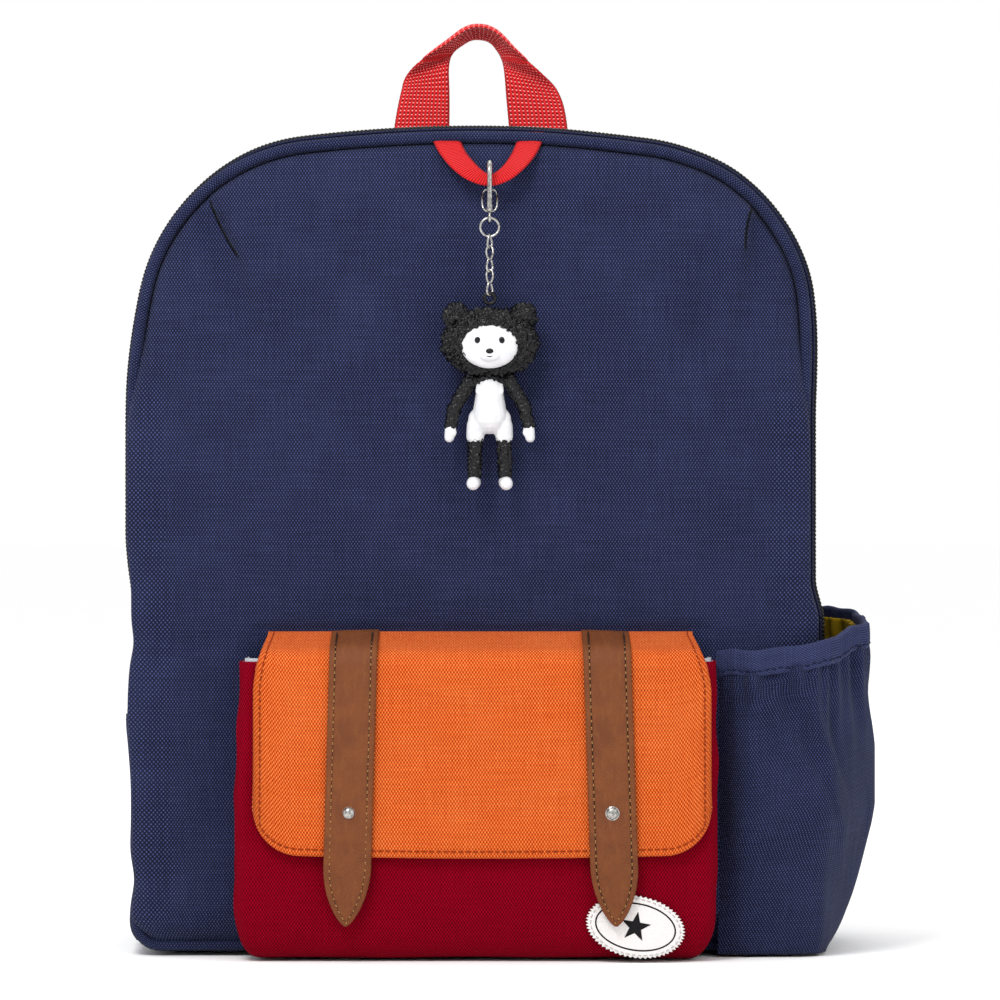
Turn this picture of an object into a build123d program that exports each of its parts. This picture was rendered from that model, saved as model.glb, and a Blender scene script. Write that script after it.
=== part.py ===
"""School backpack with a zipped main compartment, a flap-over front pocket, a side bottle pocket,
two padded shoulder straps, a webbing carry handle and a small bear charm on a chain.

Units are millimetres. +Z is up, the front of the bag faces -Y and the straps are on the +Y side.
The origin is on the underside of the base panel, at mid width and mid depth of the main body.
"""

from build123d import *
import math
import os

os.makedirs("parts", exist_ok=True)

# ---- main body outline (front view): crown, shoulder and side arcs that meet at a tangent ----
BODY_HEIGHT = 348.0
CROWN_R = 612.0
SHOULDER_R = 81.0
SIDE_R = 241.0
CROWN_TURN = 6.8  # degrees of the crown arc on each side of the centre line
SIDE_TURN = 10.0  # degrees of the side arc above the straight side
BASE_CORNER_R = 14.0
FABRIC = 2.2  # outer cloth, foam interlining and lining together

# ---- depth stations ----
FRONT_Y = -73.0  # most forward face of the bulged front panel
FRONT_SEAM_Y = -62.0
BACK_SEAM_Y = 62.0
BACK_Y = 68.5
PANEL_SLOPE = 9.0  # how far the bulged front face is set in from its seam

# ---- zip ----
COIL_WIDTH = 1.8
COIL_OUT = 0.6  # how far the coil stands outside the gusset
COIL_IN = 1.6
ZIP_SLOT = 0.8
ZIP_Y = -51.9  # the line where the two coil halves meet
TAPE_WIDTH = 7.5
ZIP_END_Z = 100.0
ZIP_STOP_HEIGHT = 3.0
SLIDER_Z, SLIDER_LENGTH, SLIDER_WIDTH, SLIDER_PLATE, SLIDER_PLAY = 110.0, 12.0, 9.0, 1.4, 0.3
PULL_PIN_R, PULL_PIN_LIFT, PULL_PIN_LENGTH = 0.7, 1.5, 5.4  # the pin that the puller swings on
PULL_POST_HALF, PULL_POST_Y = 0.5, 2.6
TAB_LENGTH, TAB_HALF, TAB_THICK, TAB_EYE_R, PIN_PLAY = 15.5, 3.0, 1.6, 1.55, 0.08
FOLD_Z = 141.0
FOLD_GAP = 0.4

# ---- front pocket and its flap ----
POCKET_LEFT, POCKET_RIGHT = -99.2, 102.1
POCKET_TOP = 122.5
POCKET_BOTTOM = 0.4
POCKET_FRONT_Y = -99.0
POCKET_WALL = 1.4
POCKET_LINING = 0.6
POCKET_CORNER = (11.0, 23.0)  # the folded bottom corner: width and height
BADGE_X, BADGE_Z, BADGE_LEAN, BADGE_HALF, BADGE_THICK = 66.5, 14.6, -5, (20.2, 12.2), 1.3
FLAP_LEFT, FLAP_RIGHT = -91.8, 100.5
FLAP_TOP, FLAP_KNEE, FLAP_BOTTOM = 136.5, 126.6, 44.4
FLAP_CORNER_R = 19.0
STRAP_WIDTH = 19.8
STRAP_TIP_Z = 15.0
STRAP_TIP_LENGTH = 25.0
STRAPS = {"left": (-49.8, 1.6), "right": (54.4, -1.9)}  # top centre x, lean in degrees
RIVET_Z = 61.7
RIVET_R = 2.7
SHANK_R = 1.0

# ---- side pocket ----
SIDE_POCKET_PLAN = [(103.4, -73.3), (112, -83), (150, -83), (171, -45), (171, 25), (149.6, 61)]
SIDE_POCKET_CORNER = 12.0
SIDE_POCKET_BOTTOM = 1.0
HEM_Z_AT_0, HEM_SLOPE = 138.0, 0.126
HEM_HEIGHT = 11.0

# ---- shoulder straps ----
STRAP_TOP = (44.0, BACK_Y + 0.5, 322.0)
STRAP_FOOT = (122.0, BACK_Y + 0.5, 30.0)
PAD_WIDTH, PAD_THICKNESS = 52.0, 9.0
FOAM_THICKNESS = 5.0
WEBBING_WIDTH, WEBBING_THICKNESS = 25.0, 1.3
# side views along each strap's own hinge line, as (out from the back, up)
PAD_PATH = [(4.2, 22), (10, 0), (24, -26), (37, -85), (37, -150), (29, -192)]
PAD_BEND_R = 24.0
PAD_START, PAD_END = -20.0, -190.0  # the swinging part of the pad
FOAM_START, FOAM_END, FOAM_MARGIN = -26.0, -184.0, 4.0
SEWN_GAP = 0.6
LOCK_OUT, LOCK_HALF, LOCK_HALF_THICK = 29.5, 17.0, 1.5
LOCK_TOP, LOCK_BOTTOM, LOCK_CORNER_R = -192.5, -220.5, 3.0
LOCK_SLOT_HALF, LOCK_SLOTS = 13.5, ((-206.5, -196.0), (-217.0, -209.5))
TAB_LOOP_Z = (-190.3, -199.4)
WEB_BAR_Z, WEB_LOOP_Z, WEB_TAIL_Z = -204.2, -222.0, -275.0
FOOT_TAB_HALF, FOOT_TAB_Z, FOOT_LENGTH = 17.0, (10.0, 34.0), 18.0

# ---- carry handle ----
HANDLE_Y = 69.6
HANDLE_THICKNESS = 3.0
HANDLE_OUTER = [(-37, 353.5), (-31.5, 378), (1.5, 403.4), (35.5, 379), (41, 353.5)]
HANDLE_INNER = [(14.7, 353.5), (12.5, 386), (1.5, 394), (-10.5, 386), (-12, 353.5)]
HANDLE_CORNER_R = 7.0
HANDLE_FOOT_X, HANDLE_FOOT_Z = ((-37, -12), (14.7, 41)), (322, 351.6)
YOKE_HALF, YOKE_Z, YOKE_CORNER_R = 72, (296, 326), 6

# ---- charm ----
CHARM_X, CHARM_Y = 6.2, -85.5
RING_WIRE, RING_INNER = 0.5, 3.4
LINK_WIRE, LINK_INNER = 0.45, 2.5
EYELET_INNER, EYELET_WIRE = 1.6, 0.7
LINK_PLAY = 0.08
RIBBON_BOTTOM, RIBBON_TOP = 323.6, 346.0
RIBBON_THICKNESS = 0.8
RING_TOP_Z = 304.5  # centre of the jump ring
CLASP_BAR, CLASP_EYE_R, CLASP_EYE_BORE_R = 2.4, 2.6, 1.4
HOOK_NOSE_Y, HOOK_NOSE_Z, HOOK_CROWN_Z = -77.4, 322.7, 330.8
GATE_R, GATE_HALF, GATE_FOOT_HALF, GATE_TIP = 0.45, 3.1, 1.9, (-77.5, 320.6)
GATE_PIVOT = (1.6, 4.4)  # behind and above the clasp's eye
HEAD_HALF, HEAD_DROP = (20.4, 9.3, 15.4), 18.6
EAR_HALF, EAR_X, EAR_Z = (5.2, 3.6, 5.2), 14.5, 12.2
FACE_HALF, FACE_OUT, FACE_THICK = (10.6, 8.6), 6.6, 2.6
TORSO_TOP, TORSO_BOTTOM, TORSO_HALF_TOP, TORSO_HALF_BOTTOM, TORSO_DEEP = 15.8, 38.6, 5.5, 9.6, 4.6
ARM_R, HAND_R, LEG_R = 2.9, 2.5, 3.0

BIG = 600.0


# ---------------------------------------------------------------- helpers
def save(shape, name):
    export_step(shape, f"parts/{name}.step")


def block(x0, x1, y0, y1, z0, z1):
    """An axis-aligned box between two corners."""
    return Pos((x0 + x1) / 2, (y0 + y1) / 2, (z0 + z1) / 2) * Box(x1 - x0, y1 - y0, z1 - z0)


def slab(face, y_front, y_back):
    """A front-view face made solid between two depths."""
    return extrude(Plane.XZ.offset(-y_back) * face, amount=y_back - y_front)


def side_extrude(face, x0, x1):
    """A side-view face (y, z) made solid between two x stations."""
    return extrude(Plane.YZ.offset(x0) * face, amount=x1 - x0)


def above(shape, z):
    return shape & block(-BIG, BIG, -BIG, BIG, z, BIG)


def below(shape, z):
    return shape & block(-BIG, BIG, -BIG, BIG, -BIG, z)


def between(shape, z0, z1):
    return shape & block(-BIG, BIG, -BIG, BIG, z0, z1)


def arch_centres():
    """Centres of the crown, shoulder and side arcs on the right-hand side."""
    crown = Vector(0, BODY_HEIGHT - CROWN_R)
    a = math.radians(90 - CROWN_TURN)
    shoulder = crown + Vector(math.cos(a), math.sin(a)) * (CROWN_R - SHOULDER_R)
    b = math.radians(SIDE_TURN)
    side = shoulder - Vector(math.cos(b), math.sin(b)) * (SIDE_R - SHOULDER_R)
    return crown, shoulder, side


def arch(inset=0.0):
    """The body's front-view outline, moved inwards by inset, as a face."""
    crown, shoulder, side = arch_centres()
    half = side.X + SIDE_R - inset
    corner = max(BASE_CORNER_R - inset, 1.0)
    low = inset
    right = [
        CenterArc((half - corner, low + corner), corner, -90, 90),
        Line((half, low + corner), (half, side.Y)),
        CenterArc(side, SIDE_R - inset, 0, SIDE_TURN),
        CenterArc(shoulder, SHOULDER_R - inset, SIDE_TURN, 90 - CROWN_TURN - SIDE_TURN),
        CenterArc(crown, CROWN_R - inset, 90 - CROWN_TURN, CROWN_TURN),
    ]
    left = [edge.mirror(Plane.YZ) for edge in right]
    bottom = Line((-(half - corner), low), (half - corner, low))
    return make_face([*right, *left, bottom])


def ring(outer, inner, y_front, y_back):
    """A band that follows the outline, between two insets and two depths."""
    return slab(arch(outer), y_front, y_back) - slab(arch(inner), y_front - 1, y_back + 1)


def pan(rim_inset, face_inset, y_rim, y_face, wall):
    """A shallow tray: a rim at one depth that slopes to a flat face at another."""
    grow = 1 if y_face > y_rim else -1
    rise = abs(y_face - y_rim)
    slope = (face_inset - rim_inset) / rise
    outer = loft([Plane.XZ.offset(-y_rim) * arch(rim_inset), Plane.XZ.offset(-y_face) * arch(face_inset)])
    below_rim = y_rim - grow * 2
    core = loft([
        Plane.XZ.offset(-below_rim) * arch(rim_inset + wall - 2 * slope),
        Plane.XZ.offset(-(y_face - grow * wall)) * arch(face_inset + wall - wall * slope),
    ])
    return outer - core


def offset_line(points, gap):
    """An open polyline moved to its left by gap, with mitred corners, and each corner's turn."""
    moved, turns = [], []
    for i, p in enumerate(points):
        p = Vector(*p)
        before = (p - Vector(*points[i - 1])).normalized() if i else None
        after = (Vector(*points[i + 1]) - p).normalized() if i < len(points) - 1 else None
        before, after = before or after, after or before
        left = Vector(-before.Y - after.Y, before.X + after.X).normalized()
        half_turn = max(left.dot(Vector(-before.Y, before.X)), 0.2)
        moved.append(p + left * (gap / half_turn))
        turns.append(before.X * after.Y - before.Y * after.X)
    return [(m.X, m.Y) for m in moved], turns[1:-1]


def strip(points, gap, thickness, radius):
    """A face that runs beside a polyline: it starts gap to the left of it and is thickness wide."""
    def side(distance):
        line, turns = offset_line(points, distance)
        if len(line) == 2:
            return Line(*line).edges(), line
        radii = [max(radius - distance * (1 if t > 0 else -1), 0.3) for t in turns]
        return FilletPolyline(*line, radius=radii).edges(), line

    near, near_line = side(gap)
    far, far_line = side(gap + thickness)
    ends = [Line(near_line[0], far_line[0]), Line(near_line[-1], far_line[-1])]
    return make_face([*near, *far, *ends])


def rod(start, end, radius):
    """A round-ended rod between two points."""
    a, b = Vector(*start), Vector(*end)
    plane = Plane(origin=a, z_dir=b - a)
    body = extrude(plane * Circle(radius), amount=(b - a).length)
    return body + Pos(a) * Sphere(radius) + Pos(b) * Sphere(radius)


def wire_ring(z, inner, wire, plane):
    """A closed wire ring, in the XZ plane (facing front) or the YZ plane (edge on)."""
    turn = Rot(90, 0, 0) if plane == "XZ" else Rot(0, 90, 0)
    return Pos(CHARM_X, CHARM_Y, z) * turn * Torus(inner + wire, wire)


# ---------------------------------------------------------------- main body
def make_body():
    low = ring(0, FABRIC, FRONT_SEAM_Y + 0.2, BACK_SEAM_Y - 0.2)
    flat = arch_centres()[2].X + SIDE_R - BASE_CORNER_R
    save(low & block(-flat, flat, -BIG, BIG, -1, FABRIC + 1), "base_panel")
    left = low & block(-BIG, -flat - 0.05, -BIG, BIG, -1, ZIP_END_Z)
    right = low & block(flat + 0.05, BIG, -BIG, BIG, -1, ZIP_END_Z)
    save(Compound(children=[left, right]), "side_panels")
    gusset_front = ZIP_Y + ZIP_SLOT / 2 + COIL_WIDTH + TAPE_WIDTH + 0.2
    save(above(ring(0, FABRIC, gusset_front, BACK_SEAM_Y - 0.2), ZIP_END_Z + 0.1), "gusset_top")

    front = pan(1.0, 1.0 + PANEL_SLOPE, FRONT_SEAM_Y, FRONT_Y, FABRIC)
    save(below(front, FOLD_Z), "front_panel_lower")
    save(above(front, FOLD_Z + FOLD_GAP), "front_panel_upper")
    piping = ring(-2.2, 0.8, FRONT_SEAM_Y - 4, FRONT_SEAM_Y)
    piping = piping & block(-BIG, BIG, -BIG, BIG, 3.0, BIG)
    save(below(piping, FOLD_Z), "front_piping_lower")
    save(above(piping, FOLD_Z + FOLD_GAP), "front_piping_upper")

    save(pan(0, 5, BACK_SEAM_Y + 0.8, BACK_Y, 1.2), "back_panel")
    save(slab(arch(8), BACK_SEAM_Y + 0.9, BACK_Y - 1.4), "back_foam")
    save(slab(arch(0), BACK_SEAM_Y - 0.1, BACK_SEAM_Y + 0.7), "back_lining")
    save(above(ring(-2.2, -0.1, BACK_SEAM_Y, BACK_SEAM_Y + 4), 3.0), "back_piping")


def make_zip():
    half = ZIP_SLOT / 2
    rear, front = ZIP_Y + half, ZIP_Y - half
    stop_top = ZIP_END_Z + ZIP_STOP_HEIGHT
    coil_rear = ring(-COIL_OUT, COIL_IN, rear, rear + COIL_WIDTH)
    coil_front = ring(-COIL_OUT, COIL_IN, front - COIL_WIDTH, front)
    tape_rear = ring(0.6, 1.4, rear + COIL_WIDTH + 0.05, rear + COIL_WIDTH + TAPE_WIDTH)
    tape_front = ring(0.6, 1.4, FRONT_SEAM_Y + 0.2, front - COIL_WIDTH - 0.05)
    save(above(coil_rear, stop_top), "zip_coil_rear")
    save(above(tape_rear, stop_top), "zip_tape_rear")
    lower = [between(coil_front, stop_top, FOLD_Z), between(tape_front, stop_top, FOLD_Z)]
    save(Compound(children=[solid for half in lower for solid in half.solids()]), "zip_half_front_lower")
    save(above(coil_front, FOLD_Z + FOLD_GAP), "zip_coil_front")
    save(above(tape_front, FOLD_Z + FOLD_GAP), "zip_tape_front")
    stops = ring(-COIL_OUT, COIL_IN, front - COIL_WIDTH, rear + COIL_WIDTH)
    save(between(stops, ZIP_END_Z + 0.2, stop_top - 0.2), "zip_stops")


def make_slider():
    """The slider's two plates straddle the coil and a thin blade in the slot joins them."""
    half_width = arch_centres()[2].X + SIDE_R
    outside = half_width + COIL_OUT + SLIDER_PLAY
    inside = half_width - COIL_IN - SLIDER_PLAY
    low, high = SLIDER_Z - SLIDER_LENGTH / 2, SLIDER_Z + SLIDER_LENGTH / 2

    def plate(x):
        shape = block(x, x + SLIDER_PLATE, ZIP_Y - SLIDER_WIDTH / 2, ZIP_Y + SLIDER_WIDTH / 2, low, high)
        return fillet(shape.edges().filter_by(Axis.X), 2.5)

    blade = block(inside - 0.5, outside + 0.5, ZIP_Y - 0.2, ZIP_Y + 0.2, SLIDER_Z - 3, SLIDER_Z + 3)
    pin_x, pin_z = outside + SLIDER_PLATE + 1.9, SLIDER_Z + PULL_PIN_LIFT
    across = Pos(pin_x, ZIP_Y, pin_z) * Rot(90, 0, 0)
    slider = plate(outside) + plate(inside - SLIDER_PLATE) + blade
    for y in (ZIP_Y - PULL_POST_Y, ZIP_Y + PULL_POST_Y):
        slider += block(outside + SLIDER_PLATE - 0.3, pin_x + PULL_PIN_R, y - PULL_POST_HALF, y + PULL_POST_HALF,
                        pin_z - 1.2, pin_z + 1.2)
    save(slider + across * Cylinder(PULL_PIN_R, PULL_PIN_LENGTH), "zip_slider")

    x0, x1 = pin_x - TAB_THICK / 2, pin_x + TAB_THICK / 2
    tab = block(x0, x1, ZIP_Y - TAB_HALF, ZIP_Y + TAB_HALF, pin_z - TAB_LENGTH, pin_z - 3.0)
    tab = fillet(tab.edges().filter_by(Axis.X), 2.0)
    neck = block(x0, x1, ZIP_Y - 1.7, ZIP_Y + 1.7, pin_z - 4, pin_z - 1.2)
    bore = across * Cylinder(PULL_PIN_R + PIN_PLAY, 4.0)
    save(tab + (neck + across * Cylinder(TAB_EYE_R, 3.6) - bore), "zip_puller")


# ---------------------------------------------------------------- pockets
def pocket_outline(inset, top):
    """The front pocket's front view, with its bottom corners folded off."""
    w, h = POCKET_CORNER
    left, right, low = POCKET_LEFT + inset, POCKET_RIGHT - inset, POCKET_BOTTOM + inset
    return make_face(Polyline(
        (left, top), (left, low + h), (left + w, low), (right - w, low), (right, low + h), (right, top),
        close=True,
    ).edges())


def make_front_pocket():
    back_y = FRONT_Y - 0.3
    outer = slab(pocket_outline(0, POCKET_TOP), POCKET_FRONT_Y, back_y)
    lined = slab(pocket_outline(POCKET_WALL, POCKET_TOP + 5), POCKET_FRONT_Y + POCKET_WALL, back_y + 1)
    save(outer - lined, "front_pocket")
    gap = 0.1
    skin = slab(pocket_outline(POCKET_WALL + gap, POCKET_TOP - 1.5), POCKET_FRONT_Y + POCKET_WALL + gap, back_y)
    wall = POCKET_WALL + gap + POCKET_LINING
    room = slab(pocket_outline(wall, POCKET_TOP + 5), POCKET_FRONT_Y + wall, back_y + 1)
    save(skin - room, "front_pocket_lining")

    badge = Pos(BADGE_X, BADGE_Z) * Rot(0, 0, BADGE_LEAN) * Ellipse(*BADGE_HALF)
    save(slab(badge, POCKET_FRONT_Y - BADGE_THICK, POCKET_FRONT_Y), "badge")
    sockets = [Pos(x, POCKET_FRONT_Y - 0.3, RIVET_Z) * Rot(90, 0, 0) * Cylinder(5, 0.6) for x in rivet_xs()]
    save(Compound(children=sockets), "snap_sockets")


def rivet_xs():
    """Where each rivet sits on its leaning strap."""
    return [x - (FLAP_TOP - RIVET_Z) * math.tan(math.radians(lean)) for x, lean in STRAPS.values()]


def flap_profile(gap, thickness, bottom):
    """Side view of a layer of the flap: it slopes forward over the pocket mouth and hangs down its front."""
    path = [(FRONT_Y - 0.8, FLAP_TOP), (POCKET_FRONT_Y - 1.2, FLAP_KNEE), (POCKET_FRONT_Y - 1.2, bottom)]
    return strip([path[2], path[1], path[0]], gap, thickness, 8.0)


def make_flap():
    corner_tool = slab(
        make_face(Polyline((FLAP_LEFT + 6, 150), (FLAP_LEFT, 105), (FLAP_LEFT, FLAP_BOTTOM),
                           (FLAP_RIGHT, FLAP_BOTTOM), (FLAP_RIGHT, 105), (FLAP_RIGHT - 6, 150), close=True).edges()),
        -130, -60)
    corners = corner_tool.edges().filter_by(Axis.Y).sort_by(Axis.Z)[:2]
    corner_tool = fillet(corners, FLAP_CORNER_R)
    holes = [Pos(x, POCKET_FRONT_Y, RIVET_Z) * Rot(90, 0, 0) * Cylinder(SHANK_R + 0.1, 30) for x in rivet_xs()]
    drill = holes[0] + holes[1]
    for name, gap, thickness in (("flap_lining", 0.0, 0.6), ("pocket_flap", 0.7, 1.4)):
        layer = side_extrude(flap_profile(gap, thickness, FLAP_BOTTOM - 5), FLAP_LEFT - 2, FLAP_RIGHT + 2)
        save((layer & corner_tool) - drill, name)
    for side, (x, lean) in STRAPS.items():
        half, shoulder_z = STRAP_WIDTH / 2, STRAP_TIP_Z + STRAP_TIP_LENGTH
        outline = make_face([
            Line((-half, 160), (-half, shoulder_z)),
            ThreePointArc((-half, shoulder_z), (-half * 0.62, STRAP_TIP_Z + 9.0), (0, STRAP_TIP_Z)),
            ThreePointArc((0, STRAP_TIP_Z), (half * 0.62, STRAP_TIP_Z + 9.0), (half, shoulder_z)),
            Line((half, shoulder_z), (half, 160)),
            Line((half, 160), (-half, 160)),
        ])
        layer = side_extrude(flap_profile(2.5, 1.7, 5), -half - 1, half + 1) & slab(outline, -130, -60)
        layer = Pos(x, 0, FLAP_TOP) * Rot(0, lean, 0) * Pos(0, 0, -FLAP_TOP) * layer
        save(layer - drill, f"leather_strap_{side}")
    rivets = []
    skin_y = POCKET_FRONT_Y - 1.2
    for x in rivet_xs():
        turn = Rot(90, 0, 0)
        cap = Pos(x, skin_y - 4.2 - 0.6, RIVET_Z) * turn * Cylinder(RIVET_R, 1.2)
        shank = Pos(x, skin_y - 2.1, RIVET_Z) * turn * Cylinder(SHANK_R, 4.8)
        stud = Pos(x, skin_y + 0.25, RIVET_Z) * turn * Cylinder(4, 0.5)
        rivets.append(cap + shank + stud)
    save(Compound(children=rivets), "snap_rivets")


def hem_wedge(drop):
    """Everything below the side pocket's sloping top edge, lowered by drop."""
    y0, y1 = -120.0, 100.0
    top = [(y1, HEM_Z_AT_0 + HEM_SLOPE * y1 - drop), (y0, HEM_Z_AT_0 + HEM_SLOPE * y0 - drop)]
    return side_extrude(make_face(Polyline((y0, -10), (y1, -10), *top, close=True).edges()), 0, 250)


def make_side_pocket():
    """A gathered wall sewn to the front pocket's edge and to the back seam, with a floor and an elastic hem."""
    path = SIDE_POCKET_PLAN
    low, tall = SIDE_POCKET_BOTTOM, HEM_Z_AT_0 + 20
    half_width = arch_centres()[2].X + SIDE_R
    bag_x, front_y = half_width + 2.5, FRONT_Y - 0.3
    bag = block(0, bag_x, FRONT_SEAM_Y - 5, BIG, -1, tall) + block(0, path[0][0] + 30, front_y, 0, -1, tall)

    def wall(gap, thickness, base):
        face = strip(path, gap, thickness, SIDE_POCKET_CORNER)
        return Pos(0, 0, base) * extrude(face, amount=tall - base)

    rim = FilletPolyline(*path, radius=SIDE_POCKET_CORNER)
    inner = Polyline(path[-1], (bag_x, path[-1][1]), (bag_x, FRONT_SEAM_Y - 5), (half_width - 10, front_y),
                     (path[0][0] + 0.4, front_y), path[0])
    floor = Pos(0, 0, low) * extrude(make_face([*rim.edges(), *inner.edges()]), amount=FABRIC)
    save((wall(0, FABRIC, low) & hem_wedge(HEM_HEIGHT + 0.1)) + floor - bag, "side_pocket")
    lining = wall(FABRIC + 0.1, 0.6, low + FABRIC + 0.1) & hem_wedge(HEM_HEIGHT + 0.1)
    save(lining - bag, "side_pocket_lining")
    save((wall(-0.4, FABRIC + 1.0, low) & hem_wedge(0)) - hem_wedge(HEM_HEIGHT) - bag, "side_pocket_hem")


# ---------------------------------------------------------------- handle and shoulder straps
def make_handle():
    outer = FilletPolyline(*HANDLE_OUTER, radius=HANDLE_CORNER_R)
    inner = FilletPolyline(*HANDLE_INNER, radius=HANDLE_CORNER_R)
    feet = [Line(HANDLE_OUTER[-1], HANDLE_INNER[0]), Line(HANDLE_INNER[-1], HANDLE_OUTER[0])]
    outline = make_face([*outer.edges(), *inner.edges(), *feet])
    save(slab(outline, HANDLE_Y - HANDLE_THICKNESS / 2, HANDLE_Y + HANDLE_THICKNESS / 2), "carry_handle")
    feet = [block(x0, x1, BACK_Y + 0.1, BACK_Y + 1.5, *HANDLE_FOOT_Z) for x0, x1 in HANDLE_FOOT_X]
    save(Compound(children=feet), "handle_feet")
    yoke = block(-YOKE_HALF, YOKE_HALF, BACK_Y + 1.6, BACK_Y + 2.8, *YOKE_Z)
    save(fillet(yoke.edges().filter_by(Axis.Y), YOKE_CORNER_R), "yoke_patch")


def strap_frame(side):
    """Maps a strap's own axes (x across, y out from the back, z up its hinge line) to the bag."""
    sign = 1 if side == "right" else -1
    lean = math.degrees(math.atan2(STRAP_FOOT[0] - STRAP_TOP[0], STRAP_TOP[2] - STRAP_FOOT[2]))
    return Pos(sign * STRAP_TOP[0], STRAP_TOP[1], STRAP_TOP[2]) * Rot(0, -sign * lean, 0)


def make_shoulder_strap(side):
    frame = strap_frame(side)
    reach = math.dist((STRAP_TOP[0], STRAP_TOP[2]), (STRAP_FOOT[0], STRAP_FOOT[2]))
    half, foam_half = PAD_WIDTH / 2, PAD_WIDTH / 2 - FOAM_MARGIN

    def layer(thickness, half_wide):
        face = strip(PAD_PATH, -thickness / 2, thickness, PAD_BEND_R)
        return side_extrude(face, -half_wide, half_wide)

    pad = layer(PAD_THICKNESS, half)
    room = between(layer(FOAM_THICKNESS, foam_half), FOAM_END, FOAM_START)
    save(frame * (between(pad, PAD_END, PAD_START) - room), f"shoulder_strap_{side}")
    foam = between(layer(FOAM_THICKNESS - 0.2, foam_half - 0.1), FOAM_END + 0.1, FOAM_START - 0.1)
    save(frame * foam, f"strap_foam_{side}")
    sewn = between(pad, PAD_START + SEWN_GAP, 4) & block(-half, half, 2.6, BIG, -BIG, BIG)

    half_web = WEBBING_WIDTH / 2
    inner, outer = LOCK_OUT - 4, LOCK_OUT + 4
    high, low = TAB_LOOP_Z
    loop = strip([(inner, high), (inner, low), (outer, low), (outer, high)],
                 -WEBBING_THICKNESS, WEBBING_THICKNESS, 1.5)
    save(frame * side_extrude(loop, -half_web, half_web), f"buckle_tab_{side}")
    web_path = [(3.0, -reach - 4), (LOCK_OUT - 6, -232), (inner, WEB_LOOP_Z), (inner, WEB_BAR_Z),
                (outer, WEB_BAR_Z), (outer, WEB_LOOP_Z), (LOCK_OUT - 1, WEB_TAIL_Z)]
    web = side_extrude(strip(web_path, 0, WEBBING_THICKNESS, 1.2), -half_web, half_web)
    foot_top = FOOT_LENGTH - reach
    save(frame * above(web, foot_top), f"strap_webbing_{side}")
    foot = below(web, foot_top - SEWN_GAP) & block(-half_web, half_web, 1.9, 30, -BIG, BIG)

    lock = block(-LOCK_HALF, LOCK_HALF, LOCK_OUT - LOCK_HALF_THICK, LOCK_OUT + LOCK_HALF_THICK, LOCK_BOTTOM, LOCK_TOP)
    lock = fillet(lock.edges().filter_by(Axis.Y), LOCK_CORNER_R)
    for z0, z1 in LOCK_SLOTS:
        lock -= block(-LOCK_SLOT_HALF, LOCK_SLOT_HALF, LOCK_OUT - 5, LOCK_OUT + 5, z0, z1)
    save(frame * lock, f"ladder_lock_{side}")
    return frame * sewn, frame * foot


def make_straps():
    tops, feet = [], []
    for side, sign in (("left", -1), ("right", 1)):
        top, foot = make_shoulder_strap(side)
        x = sign * STRAP_FOOT[0]
        tab = block(x - FOOT_TAB_HALF, x + FOOT_TAB_HALF, BACK_Y + 0.05, BACK_Y + 2.0, *FOOT_TAB_Z)
        tops.append(top)
        feet += [foot, tab]
    save(Compound(children=tops), "strap_top_ends")
    save(Compound(children=feet), "strap_foot_anchors")


# ---------------------------------------------------------------- charm
def link_heights():
    """Centre heights of the jump ring, the chain links, the end ring and the figure's eyelet."""
    heights = [RING_TOP_Z]
    inner = [RING_INNER, *[LINK_INNER] * 5, EYELET_INNER]
    for a, b in zip(inner, inner[1:]):
        heights.append(heights[-1] - (a + b) + LINK_PLAY)
    return heights


def make_ribbon():
    side_view = strip([(-83.0, RIBBON_BOTTOM - 1), (-80.6, 328), (-74.2, 339.4), (-65.8, RIBBON_TOP + 0.2)],
                      0, RIBBON_THICKNESS, 4)
    layer = side_extrude(side_view, CHARM_X - 30, CHARM_X + 30)
    half_top, half_gap = 23.0, 11.3
    right = [(CHARM_X + 3.6, RIBBON_BOTTOM + 0.9), (CHARM_X + half_top, RIBBON_TOP), (CHARM_X + half_gap, RIBBON_TOP),
             (CHARM_X + 2.4, RIBBON_BOTTOM + 4.6)]
    left = [(2 * CHARM_X - x, z) for x, z in reversed(right)]
    corners = [(CHARM_X, RIBBON_BOTTOM), *right, (CHARM_X, RIBBON_BOTTOM + 3.4), *left]
    vee = make_face(Polyline(corners, close=True).edges())
    save(layer & slab(vee, -95, -60), "charm_ribbon")


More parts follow.
